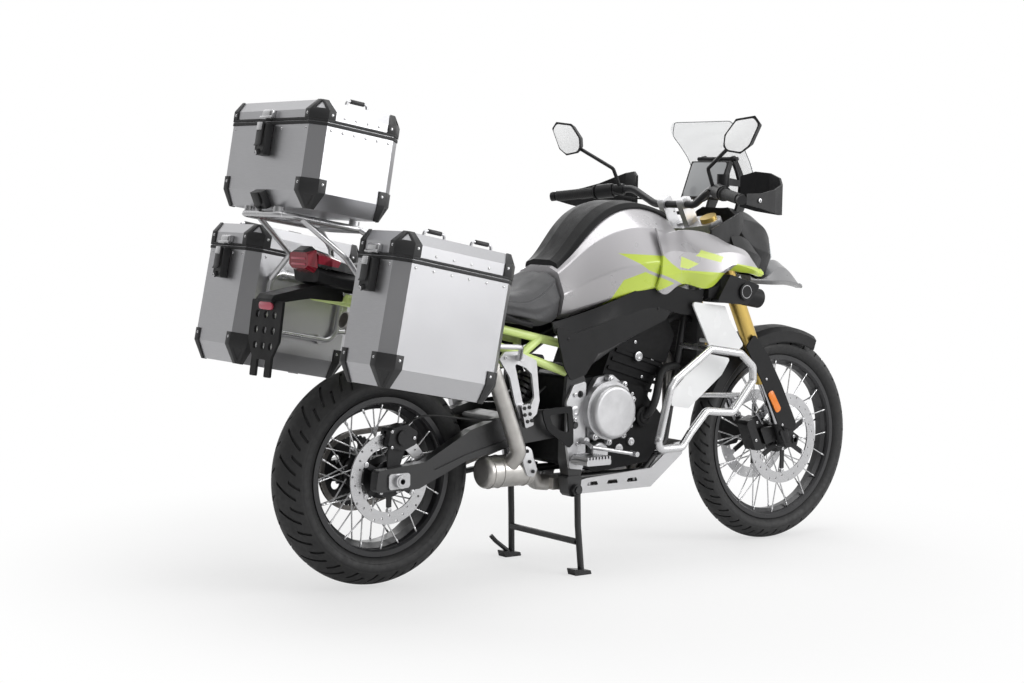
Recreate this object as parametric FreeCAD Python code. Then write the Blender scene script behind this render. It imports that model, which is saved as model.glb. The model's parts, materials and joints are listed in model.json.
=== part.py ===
"""Adventure touring motorcycle with three aluminium cases, parked on its centre stand.

Row frame: +X forward, +Y to the rider's left, +Z up, millimetres. The script works from the rear
axle (x = 0, floor z = 0) and moves everything back by ORIGIN_AHEAD when it writes the files, so the
origin lies on the floor in the middle of the machine.
"""
import FreeCAD
import Part
import math
import os
from collections import namedtuple

V = FreeCAD.Vector
Y_AXIS = V(0, 1, 0)

# ---------------------------------------------------------------- driving sizes (mm, degrees)
WHEELBASE = 1607.0
RAKE = 26.5
TRAIL = 112.0
FRONT_TYRE_R = 347.5
REAR_TYRE_R = 321.0
REAR_LIFT = 10.0            # the centre stand holds the rear tyre this far off the floor
ORIGIN_AHEAD = 786.15       # origin to rear axle
SEAT_GAP = 0.3              # soft pieces and stacked covers lie this far from what carries them
RUN_GAP = 0.1               # radial clearance of a shaft in its bore
MOVE_GAP = 5.0              # moving pieces pass others by at least this

TAN_RAKE = math.tan(math.radians(RAKE))
COS_RAKE = math.cos(math.radians(RAKE))
SIN_RAKE = math.sin(math.radians(RAKE))


# ---------------------------------------------------------------- shape tools
def box(x, y, z):
    """Block between the pairs x, y and z."""
    return Part.makeBox(x[1] - x[0], y[1] - y[0], z[1] - z[0], V(x[0], y[0], z[0]))


def rod(start, end, radius):
    """Round bar from start to end."""
    return Part.makeCylinder(radius, (end - start).Length, start, end - start)


def cross_rod(x, z, y, radius):
    """Round bar across the machine at (x, z), from y[0] to y[1]."""
    return rod(V(x, y[0], z), V(x, y[1], z), radius)


def fuse(shapes):
    """One shape of all of them, with the seams between coplanar faces removed."""
    shapes = list(shapes)
    if len(shapes) == 1:
        return shapes[0]
    return shapes[0].multiFuse(shapes[1:]).removeSplitter()


def mirrored(shape):
    return shape.mirror(V(0, 0, 0), Y_AXIS)


def both_sides(shape):
    """The shape and its mirror image on the other side of the machine."""
    return [shape, mirrored(shape)]


def outline(corners):
    """Closed wire through (point, radius) corners, each rounded by a tangent arc of its radius."""
    points = [point for point, _ in corners]
    joints = []
    for i, (point, radius) in enumerate(corners):
        if radius <= 0:
            joints.append((point, point, None))
            continue
        back = (points[i - 1] - point).normalize()
        ahead = (points[(i + 1) % len(points)] - point).normalize()
        half = back.getAngle(ahead) / 2
        inward = (back + ahead).normalize()
        reach = radius / math.tan(half)
        middle = point + inward * (radius / math.sin(half) - radius)
        joints.append((point + back * reach, point + ahead * reach, middle))
    edges = []
    for i, (start, end, middle) in enumerate(joints):
        if middle is not None:
            edges.append(Part.Arc(start, middle, end).toShape())
        following = joints[(i + 1) % len(joints)][0]
        if (following - end).Length > 1e-6:
            edges.append(Part.makeLine(end, following))
    return Part.Wire(edges)


def plate(points, y, radius=0.0):
    """Flat side plate: its outline is (x, z) points, its thickness runs from y[0] to y[1]."""
    wire = outline([(V(px, y[0], pz), radius) for px, pz in points])
    return Part.Face(wire).extrude(V(0, y[1] - y[0], 0))


def tube(points, radius, bend):
    """Round bar along points, each corner an arc of the bend radius."""
    pieces = []
    start = points[0]
    for i in range(1, len(points) - 1):
        corner = points[i]
        back = (points[i - 1] - corner).normalize()
        ahead = (points[i + 1] - corner).normalize()
        half = back.getAngle(ahead) / 2
        reach = bend / math.tan(half)
        arc_start = corner + back * reach
        centre = corner + (back + ahead).normalize() * (bend / math.sin(half))
        face = Part.Face(Part.Wire(Part.makeCircle(radius, arc_start, back * -1)))
        turn = 180 - math.degrees(2 * half)
        pieces.append(rod(start, arc_start, radius))
        pieces.append(face.revolve(centre, (back * -1).cross(ahead), turn))
        start = corner + ahead * reach
    pieces.append(rod(start, points[-1], radius))
    return fuse(pieces)


def closed_tube(points, radius, bend):
    """Endless tube through the points, starting in the middle of its last stretch."""
    start = (points[-1] + points[0]) * 0.5
    return tube([start] + points + [start], radius, bend)


def loft(wires, ruled=False):
    return Part.makeLoft(wires, True, ruled)


def hull_body(rows, radius):
    """Symmetric body lofted along X. Each row: x, then (half width, z) from the bottom to the top."""
    wires = []
    for x, *half in rows:
        right = [V(x, -h, z) for h, z in half]
        left = [V(x, h, z) for h, z in reversed(half)]
        wires.append(outline([(p, radius) for p in right + left]))
    return loft(wires)


def grown(rows, gap):
    """The same rows with every point moved out by gap, for cutting a neighbour that seats on them."""
    moved = []
    for x, *half in rows:
        moved.append((x,) + tuple((h + gap, z + (gap if i > 1 else -gap)) for i, (h, z) in enumerate(half)))
    return moved


def panel(rows, thick):
    """Folded side panel lofted along X. Each row: x, then (y, z) points of its outer face, bottom to top;
    the inner face lies thick nearer the middle of the machine."""
    wires = []
    for x, *face in rows:
        inward = -thick if face[0][0] > 0 else thick
        outer = [V(x, y, z) for y, z in face]
        inner = [V(x, y + inward, z) for y, z in reversed(face)]
        wires.append(Part.makePolygon(outer + inner + outer[:1]))
    return loft(wires)


def spun(points, x, z, radius=0.0):
    """Solid of revolution about the wheel axis at (x, z): the profile is (y, r) points."""
    wire = outline([(V(x, y, z + r), radius) for y, r in points])
    return Part.Face(wire).revolve(V(x, 0, z), Y_AXIS, 360)


def turned(shape, x, z, degrees):
    """Copy turned about the cross axis at (x, z)."""
    copy = shape.copy()
    copy.rotate(V(x, 0, z), Y_AXIS, degrees)
    return copy


# ---------------------------------------------------------------- wheels
Wheel = namedtuple(
    "Wheel", "x z tyre_r tyre_half wall flange_r seat_r seat_half well_r hub_r hub_half spoke_y spokes axle_r"
)
FRONT = Wheel(
    x=WHEELBASE, z=FRONT_TYRE_R, tyre_r=FRONT_TYRE_R, tyre_half=46.0, wall=8.0, flange_r=279.0,
    seat_r=266.5, seat_half=29.0, well_r=252.0, hub_r=30.0, hub_half=64.0, spoke_y=36.0, spokes=40,
    axle_r=12.5,
)
REAR = Wheel(
    x=0.0, z=REAR_TYRE_R + REAR_LIFT, tyre_r=REAR_TYRE_R, tyre_half=75.0, wall=10.0, flange_r=232.0,
    seat_r=218.0, seat_half=55.0, well_r=200.0, hub_r=42.0, hub_half=80.0, spoke_y=44.0, spokes=40,
    axle_r=14.0,
)
RIM_WALL = 5.0
SPOKE_R = 2.2
SPOKE_SWEEP = 34.0          # degrees that a spoke leans from hub to rim
HUB_FLANGE = 20.0           # the spoke flange stands this far above the hub barrel
DISC_THICK = 5.0
FRONT_DISC_R = 152.5
FRONT_DISC_Y = 70.0
REAR_DISC_R = 132.5
REAR_DISC_Y = 94.0
DISC_BAND = 36.0            # width of the braking ring


def tyre(w):
    """Open carcass from bead to bead, with a round crown."""
    bead_y = w.seat_half - 0.3
    bead_r = w.seat_r + 0.3
    shoulder_r = w.seat_r + 0.56 * (w.tyre_r - w.seat_r)
    sidewall_r = (bead_r + shoulder_r) / 2 + 2
    bulge = w.tyre_half - 2.0

    def at(y, r):
        return V(w.x, y, w.z + r)

    inner_y = bead_y - w.wall
    inner_shoulder = w.tyre_half - w.wall
    edges = [
        Part.Arc(at(bead_y, w.flange_r + 1), at(bulge, sidewall_r + 6), at(w.tyre_half, shoulder_r)),
        Part.Arc(at(w.tyre_half, shoulder_r), at(0, w.tyre_r), at(-w.tyre_half, shoulder_r)),
        Part.Arc(at(-w.tyre_half, shoulder_r), at(-bulge, sidewall_r + 6), at(-bead_y, w.flange_r + 1)),
        Part.LineSegment(at(-bead_y, w.flange_r + 1), at(-bead_y, bead_r)),
        Part.LineSegment(at(-bead_y, bead_r), at(-inner_y, bead_r)),
        Part.LineSegment(at(-inner_y, bead_r), at(-inner_shoulder, shoulder_r)),
        Part.Arc(at(-inner_shoulder, shoulder_r), at(0, w.tyre_r - w.wall), at(inner_shoulder, shoulder_r)),
        Part.LineSegment(at(inner_shoulder, shoulder_r), at(inner_y, bead_r)),
        Part.LineSegment(at(inner_y, bead_r), at(bead_y, bead_r)),
        Part.LineSegment(at(bead_y, bead_r), at(bead_y, w.flange_r + 1)),
    ]
    wire = Part.Wire([e.toShape() for e in edges])
    return Part.Face(wire).revolve(V(w.x, 0, w.z), Y_AXIS, 360)


def rim(w):
    """Drop-centre rim with rolled flanges; the spokes end just inside its edges."""
    sh, fr, sr, wr, t = w.seat_half, w.flange_r, w.seat_r, w.well_r, RIM_WALL
    well = sh * 0.42
    half = [
        (sh + t, fr), (sh, fr), (sh, sr), (well + 8, sr - 2), (well, wr),
    ]
    under = [(well - 2, wr - t), (well + 6, sr - 2 - t), (sh - 1, sr - t - 1), (sh + t, sr - 1)]
    profile = half + [(-y, r) for y, r in reversed(half)]
    profile += [(-y, r) for y, r in reversed(under)] + under
    return spun(profile, w.x, w.z)


def rim_inner_r(w):
    """Radius of the rim's inner face where the spokes end."""
    return w.seat_r - RIM_WALL - 1


def hub(w, carriers):
    """Barrel with two spoke flanges, its disc carriers and a bore that runs on the axle."""
    top = w.hub_r + HUB_FLANGE
    half = [
        (w.hub_half, w.axle_r + RUN_GAP), (w.hub_half, w.hub_r - 4), (w.spoke_y + 12, w.hub_r),
        (w.spoke_y + 9, top), (w.spoke_y - 9, top), (w.spoke_y - 12, w.hub_r),
    ]
    barrel = spun(half + [(-y, r) for y, r in reversed(half)], w.x, w.z)
    return fuse([barrel] + carriers)


def spokes(w):
    """Crossed spokes from the hub flanges to the rim's edges, each a bar of its own."""
    hub_r = w.hub_r + HUB_FLANGE + SEAT_GAP + 0.6
    rim_r = rim_inner_r(w) - SEAT_GAP - 0.6
    rim_y = w.seat_half - 4.0
    bars = []
    step = 360.0 / w.spokes
    for i in range(w.spokes):
        side = 1 if i % 2 else -1
        cross = 1 if (i // 2) % 2 else -1
        end_angle = math.radians(i * step)
        start_angle = math.radians(i * step + cross * SPOKE_SWEEP)
        hub_y = side * (w.spoke_y + cross * 6.0)
        end_y = side * (rim_y + cross * 2.5)
        start = V(w.x + hub_r * math.cos(start_angle), hub_y, w.z + hub_r * math.sin(start_angle))
        end = V(w.x + rim_r * math.cos(end_angle), end_y, w.z + rim_r * math.sin(end_angle))
        bars.append(rod(start, end, SPOKE_R))
    return bars


BOBBINS = 6
BOBBIN_R = 9.0
BOBBIN_INSET = 4.0          # bobbin centres lie this far inside the braking ring


def brake_disc(w, outer_r, y):
    """Drilled braking ring with eyes for the bobbins that hold it to its carrier."""
    inner_r = outer_r - DISC_BAND
    faces = (y - DISC_THICK / 2, y + DISC_THICK / 2)
    ring = spun([(faces[0], inner_r), (faces[1], inner_r), (faces[1], outer_r), (faces[0], outer_r)], w.x,
                w.z)
    eye = cross_rod(w.x, w.z + inner_r - BOBBIN_INSET, faces, BOBBIN_R)
    eyes = [turned(eye, w.x, w.z, 360 / BOBBINS * k) for k in range(BOBBINS)]
    cuts = []
    for k in range(30):
        hole = cross_rod(w.x, w.z + inner_r + DISC_BAND * (0.25, 0.55, 0.82)[k % 3], (y - 9, y + 9), 3.6)
        cuts.append(turned(hole, w.x, w.z, 12 * k))
    return fuse([ring] + eyes).cut(Part.makeCompound(cuts))


def disc_carrier(w, outer_r, y, hub_face):
    """Star that joins the hub to the bobbin eyes of its disc."""
    faces = (y - DISC_THICK / 2, y + DISC_THICK / 2)
    bore_r, ring_r = w.axle_r + 8, w.hub_r + 12
    reach = outer_r - DISC_BAND - BOBBIN_INSET - BOBBIN_R - SEAT_GAP
    ring = spun([(faces[0], bore_r), (faces[1], bore_r), (faces[1], ring_r), (faces[0], ring_r)], w.x, w.z)
    arm = box((w.x - 8, w.x + 8), faces, (w.z + w.hub_r, w.z + reach))
    pieces = [ring] + [turned(arm, w.x, w.z, 360 / BOBBINS * k) for k in range(BOBBINS)]
    spacer_y = sorted((hub_face, faces[0] if y > 0 else faces[1]))
    if spacer_y[1] - spacer_y[0] > 0.5:
        pieces.append(spun([(spacer_y[0], bore_r), (spacer_y[1], bore_r), (spacer_y[1], w.hub_r - 6),
                            (spacer_y[0], w.hub_r - 6)], w.x, w.z))
    return fuse(pieces)


# ---------------------------------------------------------------- chain drive
CHAIN_Y = 97.0
CHAIN_PITCH = 15.875
CHAIN_HALF_WIDTH = 7.5
CHAIN_PLATE = 2.0
CHAIN_HEIGHT = 14.0
ROLLER_R = 5.0
REAR_TEETH = 44
FRONT_TEETH = 16
DRIVE_X = 702.0             # gearbox output shaft
DRIVE_Z = 452.0
SPROCKET_THICK = 6.0
TOOTH_GAP = 0.8             # the teeth stop this far under the rollers


def pitch_r(teeth):
    return CHAIN_PITCH / (2 * math.sin(math.pi / teeth))


def chain_line():
    """Tangent points of the upper and lower runs: (x, z) at the rear and front sprocket."""
    big, small = pitch_r(REAR_TEETH), pitch_r(FRONT_TEETH)
    dx, dz = DRIVE_X - REAR.x, DRIVE_Z - REAR.z
    slope = math.atan2(dz, dx)
    lean = math.asin((big - small) / math.hypot(dx, dz))
    upper = slope + math.pi / 2 - lean
    lower = slope - math.pi / 2 + lean
    return big, small, upper, lower


def belt(offset):
    """Closed wire round both sprockets, offset from the pitch line, in the plane y = 0."""
    big, small, upper, lower = chain_line()

    def at(x, z, r, angle):
        return V(x + r * math.cos(angle), 0, z + r * math.sin(angle))

    big, small = big + offset, small + offset
    rear_top, rear_low = at(REAR.x, REAR.z, big, upper), at(REAR.x, REAR.z, big, lower)
    front_top, front_low = at(DRIVE_X, DRIVE_Z, small, upper), at(DRIVE_X, DRIVE_Z, small, lower)
    rear_mid = at(REAR.x, REAR.z, big, (upper + lower) / 2 + math.pi)
    front_mid = at(DRIVE_X, DRIVE_Z, small, (upper + lower) / 2)
    return Part.Wire([
        Part.makeLine(rear_top, front_top), Part.Arc(front_top, front_mid, front_low).toShape(),
        Part.makeLine(front_low, rear_low), Part.Arc(rear_low, rear_mid, rear_top).toShape(),
    ])


def chain():
    """Roller chain: two plate loops held by rollers one pitch apart."""
    outer = Part.Face(belt(CHAIN_HEIGHT / 2))
    inner = Part.Face(belt(-CHAIN_HEIGHT / 2))
    loop = outer.cut(inner).extrude(V(0, CHAIN_PLATE, 0))
    pieces = []
    for y in (CHAIN_Y - CHAIN_HALF_WIDTH, CHAIN_Y + CHAIN_HALF_WIDTH - CHAIN_PLATE):
        side = loop.copy()
        side.translate(V(0, y, 0))
        pieces.append(side)
    centre = belt(0)
    links = round(centre.Length / CHAIN_PITCH)
    for point in centre.discretize(Number=links + 1)[:-1]:
        pieces.append(cross_rod(
            point.x, point.z, (CHAIN_Y - CHAIN_HALF_WIDTH, CHAIN_Y + CHAIN_HALF_WIDTH), ROLLER_R))
    return fuse(pieces)


def sprocket():
    """Rear sprocket: short teeth that stop under the rollers, and a ring of windows."""
    tip = pitch_r(REAR_TEETH) - ROLLER_R - TOOTH_GAP
    root = tip - 5.0
    points = []
    for k in range(REAR_TEETH):
        a = 2 * math.pi * k / REAR_TEETH
        step = 2 * math.pi / REAR_TEETH
        for r, share in ((root, 0.0), (tip, 0.3), (tip, 0.5), (root, 0.8)):
            points.append(V(REAR.x + r * math.cos(a + share * step), CHAIN_Y - SPROCKET_THICK / 2,
                            REAR.z + r * math.sin(a + share * step)))
    disc = Part.Face(Part.makePolygon(points + points[:1])).extrude(V(0, SPROCKET_THICK, 0))
    cuts = [cross_rod(REAR.x, REAR.z, (CHAIN_Y - 9, CHAIN_Y + 9), REAR.axle_r + 8)]
    for k in range(6):
        window = cross_rod(REAR.x, REAR.z + 73, (CHAIN_Y - 9, CHAIN_Y + 9), 15)
        cuts.append(turned(window, REAR.x, REAR.z, 60 * k))
    carrier = spun(
        [(REAR.hub_half, REAR.axle_r + 8), (CHAIN_Y - SPROCKET_THICK / 2, REAR.axle_r + 8),
         (CHAIN_Y - SPROCKET_THICK / 2, 58), (REAR.hub_half, 52)], REAR.x, REAR.z)
    return fuse([disc.cut(Part.makeCompound(cuts)), carrier])


# ---------------------------------------------------------------- swingarm and rear axle
PIVOT_X, PIVOT_Z = 622.0, 458.0
ARM_INNER = 112.0
ARM_THICK = 34.0
PIVOT_TUBE_R = 18.0
AXLE_END_Y = 158.0


def swingarm():
    """Two box arms with a bridge ahead of the tyre; the pivot tube passes between the chain's runs."""
    arm_outline = [
        (-78, REAR.z - 30), (70, REAR.z - 28), (235, 372), (420, 408), (PIVOT_X + 26, 428),
        (PIVOT_X + 34, 478), (PIVOT_X, 500), (430, 512), (250, 462), (90, REAR.z + 48), (-70, REAR.z + 32),
    ]
    arm = plate(arm_outline, (ARM_INNER, ARM_INNER + ARM_THICK), 12)
    web = plate([(120, 352), (240, 392), (400, 428), (400, 490), (250, 440), (110, 380)],
                (ARM_INNER + ARM_THICK - 5, ARM_INNER + ARM_THICK + 1), 8)
    arm = arm.cut(web)
    bridge = plate([(368, 420), (452, 424), (460, 496), (380, 486)], (-ARM_INNER - 1, CHAIN_Y - 16), 14)
    left_tie = plate([(368, 408), (452, 414), (452, 432), (368, 428)], (CHAIN_Y - 17, ARM_INNER + 1), 4)
    pivot = cross_rod(PIVOT_X, PIVOT_Z, (-ARM_INNER - 1, ARM_INNER + 1), PIVOT_TUBE_R)
    body = fuse([arm, mirrored(arm), bridge, left_tie, pivot])
    axle_hole = cross_rod(REAR.x, REAR.z, (-300, 300), REAR.axle_r + RUN_GAP)
    bolt_hole = cross_rod(PIVOT_X, PIVOT_Z, (-300, 300), 9.0)
    return body.cut(Part.makeCompound([axle_hole, bolt_hole]))


def rear_axle():
    """Hollow axle with its nut and the adjuster plates at the arm ends."""
    face = ARM_INNER + ARM_THICK
    shaft = cross_rod(REAR.x, REAR.z, (-AXLE_END_Y - 8, AXLE_END_Y + 8), REAR.axle_r)
    spacer = cross_rod(REAR.x, REAR.z, (REAR.hub_half + SEAT_GAP, ARM_INNER - SEAT_GAP), REAR.axle_r + 5)
    short_spacer = cross_rod(REAR.x, REAR.z, (REAR.hub_half + SEAT_GAP, ARM_INNER - 7), REAR.axle_r + 5)
    nut = cross_rod(REAR.x, REAR.z, (face + 6, AXLE_END_Y + 6), 20)
    block = plate([(-38, REAR.z - 24), (34, REAR.z - 20), (34, REAR.z + 22), (-38, REAR.z + 22)],
                  (face, face + 6), 9)
    bore = cross_rod(REAR.x, REAR.z, (-300, 300), 8)
    pieces = [shaft, nut, mirrored(nut), block, mirrored(block), spacer, mirrored(short_spacer)]
    return fuse(pieces).cut(bore)


def rear_caliper():
    """Sliding caliper over the top of the disc, on a bracket that hangs on the axle."""
    y_in, y_out = -REAR_DISC_Y + 22, -ARM_INNER + SEAT_GAP
    slot = box((-80, 140), (-REAR_DISC_Y - DISC_THICK / 2 - 4, -REAR_DISC_Y + DISC_THICK / 2 + MOVE_GAP),
               (REAR.z + 20, REAR.z + REAR_DISC_R + 6))
    z = REAR.z
    body = plate([(-26, z + 96), (-12, z + 148), (40, z + 158), (78, z + 134), (72, z + 98), (30, z + 82)],
                 (y_out - 12, y_in), 11)
    piston = cross_rod(28, z + 120, (y_out - 20, y_out - 6), 23)
    bracket = plate([(-20, z + 22), (20, z + 22), (46, z + 96), (-12, z + 108)], (y_out, y_out + 6), 7)
    eye = cross_rod(REAR.x, REAR.z, (y_out, y_out + 6), 30)
    hole = cross_rod(REAR.x, REAR.z, (-200, 0), REAR.axle_r + RUN_GAP)
    return fuse([body.cut(slot), piston, bracket, eye]).cut(hole)


# ---------------------------------------------------------------- fork frame
AXLE_OFFSET = (TAN_RAKE * FRONT.z - TRAIL) * COS_RAKE     # axle ahead of the steering axis
FORK_ORIGIN = V(FRONT.x - AXLE_OFFSET * COS_RAKE, 0, FRONT.z - AXLE_OFFSET * SIN_RAKE)
FORK_HALF = 105.0
LEG_OFFSET = 28.0           # fork legs ahead of the steering axis
OUTER_R = 27.0
STANCHION_R = 21.5
OUTER_LOW = 242.0           # along the fork, from the level of the axle
LOWER_YOKE = (590.0, 622.0)
UPPER_YOKE = (806.0, 832.0)
HEAD_TUBE_R = 31.0
STEM_R = 15.0
BAR_HEIGHT = 901.0          # handlebar centre along the steering axis
BAR_R = 12.0


def to_fork(shape):
    """Places a shape drawn upright at the fork's origin, its +Z along the steering axis."""
    placed = shape.copy()
    placed.rotate(V(0, 0, 0), Y_AXIS, -RAKE)
    placed.translate(FORK_ORIGIN)
    return placed


def fork_point(x, y, s):
    """Row point at x ahead of the steering axis and s along it."""
    return FORK_ORIGIN + V(x * COS_RAKE - s * SIN_RAKE, y, x * SIN_RAKE + s * COS_RAKE)


def fork_outers():
    leg = fuse([
        rod(V(LEG_OFFSET, FORK_HALF, OUTER_LOW), V(LEG_OFFSET, FORK_HALF, UPPER_YOKE[1] + 14), OUTER_R),
        rod(V(LEG_OFFSET, FORK_HALF, OUTER_LOW), V(LEG_OFFSET, FORK_HALF, OUTER_LOW + 34), OUTER_R + 4),
    ])
    return [to_fork(s) for s in both_sides(leg)]


def fork_lowers():
    """Polished stanchions."""
    leg = rod(V(LEG_OFFSET, FORK_HALF, 84), V(LEG_OFFSET, FORK_HALF, OUTER_LOW - SEAT_GAP), STANCHION_R)
    return [to_fork(s) for s in both_sides(leg)]


def fork_feet():
    """Cast feet that clamp the axle and carry the calipers, with the hollow axle between them."""
    foot = fuse([
        rod(V(LEG_OFFSET, FORK_HALF, 8), V(LEG_OFFSET, FORK_HALF, 84), 25),
        plate([(LEG_OFFSET - 22, 60), (LEG_OFFSET - 18, -6), (AXLE_OFFSET, -24), (AXLE_OFFSET + 24, 0),
               (AXLE_OFFSET + 8, 24), (LEG_OFFSET + 22, 66)], (FORK_HALF - 21, FORK_HALF + 22), 8),
        plate([(-46, 36), (LEG_OFFSET - 10, 20), (LEG_OFFSET - 10, 70), (-46, 100)],
              (FORK_HALF - 20, FORK_HALF - 6), 6),
    ])
    axle = rod(V(AXLE_OFFSET, -FORK_HALF - 26, 0), V(AXLE_OFFSET, FORK_HALF + 26, 0), FRONT.axle_r)
    spacer = rod(V(AXLE_OFFSET, FRONT.hub_half + SEAT_GAP, 0), V(AXLE_OFFSET, FORK_HALF - 20, 0),
                 FRONT.axle_r + 5)
    bore = rod(V(AXLE_OFFSET, -200, 0), V(AXLE_OFFSET, 200, 0), 8)
    return to_fork(fuse([foot, mirrored(foot), axle, spacer, mirrored(spacer)]).cut(bore))


def front_calipers():
    """Four-piston calipers behind the fork legs, open over the discs."""
    block = plate([(-96, 40), (-40, 20), (-12, 50), (-30, 138), (-94, 150)], (50, 100), 12)
    slot = rod(V(AXLE_OFFSET, FRONT_DISC_Y - DISC_THICK / 2 - MOVE_GAP, 0),
               V(AXLE_OFFSET, FRONT_DISC_Y + DISC_THICK / 2 + MOVE_GAP, 0), FRONT_DISC_R + MOVE_GAP)
    seat = box((-62, 60), (FORK_HALF - 20.3, 140), (0, 160))
    return [to_fork(s) for s in both_sides(block.cut(slot).cut(seat))]


def yokes():
    """Upper and lower yokes joined by the stem that turns in the head tube."""
    pieces = []
    for low, high in (LOWER_YOKE, UPPER_YOKE):
        wire = outline([(V(x, y, low), 20) for x, y in (
            (-34, -40), (-6, -FORK_HALF - 33), (62, -FORK_HALF - 33), (62, -60), (46, 0), (62, 60),
            (62, FORK_HALF + 33), (-6, FORK_HALF + 33), (-34, 40))])
        pieces.append(Part.Face(wire).extrude(V(0, 0, high - low)))
    pieces.append(rod(V(0, 0, LOWER_YOKE[0]), V(0, 0, UPPER_YOKE[1] + 6), STEM_R))
    holes = [rod(V(LEG_OFFSET, y, 400), V(LEG_OFFSET, y, 900), OUTER_R + 0.05)
             for y in (-FORK_HALF, FORK_HALF)]
    return to_fork(fuse(pieces).cut(Part.makeCompound(holes)))


CLAMP_Y = 46.0
CLAMP_HALF = 12.0


def bar_clamps():
    """Two risers with caps that hold the handlebar above the upper yoke."""
    riser = box((-20, 24), (CLAMP_Y - CLAMP_HALF, CLAMP_Y + CLAMP_HALF), (UPPER_YOKE[1], BAR_HEIGHT + 22))
    hole = rod(V(0, -90, BAR_HEIGHT), V(0, 90, BAR_HEIGHT), BAR_R + 0.05)
    edges = [e for e in riser.Edges
             if abs(e.tangentAt(e.FirstParameter).y) > 0.9 and e.CenterOfMass.z > BAR_HEIGHT]
    riser = riser.makeFillet(9, edges).cut(hole)
    return [to_fork(s) for s in both_sides(riser)]


# Handlebar: half width of each stretch and its place behind / above the clamp centre.
BAR_END_Y = 446.0
BAR_CENTRE = fork_point(0, 0, BAR_HEIGHT)
BAR_KNEE = V(BAR_CENTRE.x - 18, 190, BAR_CENTRE.z + 50)
BAR_END = V(BAR_CENTRE.x - 136, BAR_END_Y, BAR_CENTRE.z + 19)
GRIP_DIRECTION = (BAR_END - BAR_KNEE).normalize()


def on_grip(y):
    """Point on the bar's centre line at distance y from the middle of the machine."""
    return BAR_KNEE + GRIP_DIRECTION * ((y - BAR_KNEE.y) / GRIP_DIRECTION.y)


def flipped(point):
    return V(point.x, -point.y, point.z)


def handlebar():
    inner = V(BAR_CENTRE.x, 96, BAR_CENTRE.z)
    points = [flipped(BAR_END), flipped(BAR_KNEE), flipped(inner), inner, BAR_KNEE, BAR_END]
    return tube(points, BAR_R, 60)


GRIP = (312.0, 440.0)
GRIP_R = 17.0


def grips():
    sleeve = rod(on_grip(GRIP[0]), on_grip(GRIP[1]), GRIP_R)
    flange = rod(on_grip(GRIP[0]), on_grip(GRIP[0] + 5), GRIP_R + 5)
    grip = fuse([sleeve, flange]).cut(rod(on_grip(200), on_grip(500), BAR_R + SEAT_GAP))
    return both_sides(grip)


POD = (252.0, 304.0)


def controls():
    """Switch pods with master cylinders and levers; the levers reach in front of the grips."""
    hole = rod(on_grip(180), on_grip(480), BAR_R + SEAT_GAP)
    forward = V(1, 0, 0)
    pod = rod(on_grip(POD[0]), on_grip(POD[1]), 24)
    perch = rod(on_grip(218), on_grip(250), 19)
    arm_start = on_grip(234) + forward * 12
    arm_end = on_grip(244) + forward * 52
    lever_end = on_grip(418) + forward * 74 + V(0, 0, -6)
    lever = tube([arm_start, arm_end, lever_end], 6.5, 9)
    reservoir = rod(on_grip(226) + V(34, 0, 12), on_grip(226) + V(34, 0, 52), 20)
    neck = rod(on_grip(232) + V(8, 0, 6), on_grip(226) + V(34, 0, 26), 9)
    right = fuse([pod, perch, lever, reservoir, neck]).cut(hole)
    left = fuse([pod, perch, lever]).cut(hole)
    return [mirrored(right), left]


MIRROR_CENTRE = V(1048, 424, 1344)
MIRROR_BASE = V(1112, 226, 1186)


def mirrors(clamps):
    """Stalk, ball cover and a six-sided housing that faces the rider."""
    c = MIRROR_CENTRE
    # columns: offset along Y (negative is inboard), offset in Z
    face = [(-76, 0), (-27, 48), (56, 56), (78, 34), (36, -36), (-4, -58), (-66, -50), (-80, -34)]
    front = outline([(V(c.x + 12, c.y + dy * 0.84, c.z + dz * 0.82), 4) for dy, dz in face])
    rear = outline([(V(c.x - 8, c.y + dy, c.z + dz), 5) for dy, dz in face])
    shell = loft([rear, front], True)
    elbow = V(1086, MIRROR_BASE.y + 3, 1243)
    stalk_end = V(c.x + 2, c.y - 60, c.z - 34)
    stalk = tube([MIRROR_BASE, elbow, stalk_end], 6, 14)
    mirror = fuse([shell, stalk])
    return [mirrored(mirror).cut(clamps[0]), mirror.cut(clamps[1])]


# Handguard stations: x, half width y, lower z, upper z.
GUARD_STATIONS = [
    (1032, 456, 1134, 1166), (1090, 462, 1122, 1168), (1150, 456, 1109, 1180), (1200, 436, 1103, 1196),
    (1230, 398, 1102, 1216), (1240, 346, 1106, 1232), (1230, 292, 1113, 1237), (1206, 250, 1126, 1222),
]
GUARD_THICK = 6.0


def handguards():
    """Wrap-round shields on an arm that bolts to the bar end."""
    outer, wires = [V(x, y, 0) for x, y, _, _ in GUARD_STATIONS], []
    for i, (x, y, low, high) in enumerate(GUARD_STATIONS):
        before, after = outer[max(i - 1, 0)], outer[min(i + 1, len(outer) - 1)]
        along = (after - before).normalize()
        inward = V(along.y, -along.x, 0) * -GUARD_THICK
        a, b = V(x, y, 0), V(x, y, 0) + inward
        wires.append(Part.makePolygon([
            V(a.x, a.y, low), V(a.x, a.y, high), V(b.x, b.y, high), V(b.x, b.y, low), V(a.x, a.y, low)]))
    shield = loft(wires, True)
    arm = plate([(1006, BAR_END.z - 13), (1046, BAR_END.z - 13), (1046, BAR_END.z + 15),
                 (1006, BAR_END.z + 15)],
                (BAR_END_Y + 1.5, 456), 6)
    weight = rod(on_grip(BAR_END_Y + SEAT_GAP), on_grip(462), 15)
    return both_sides(fuse([shield, arm, weight]).cut(handlebar()))


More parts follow.
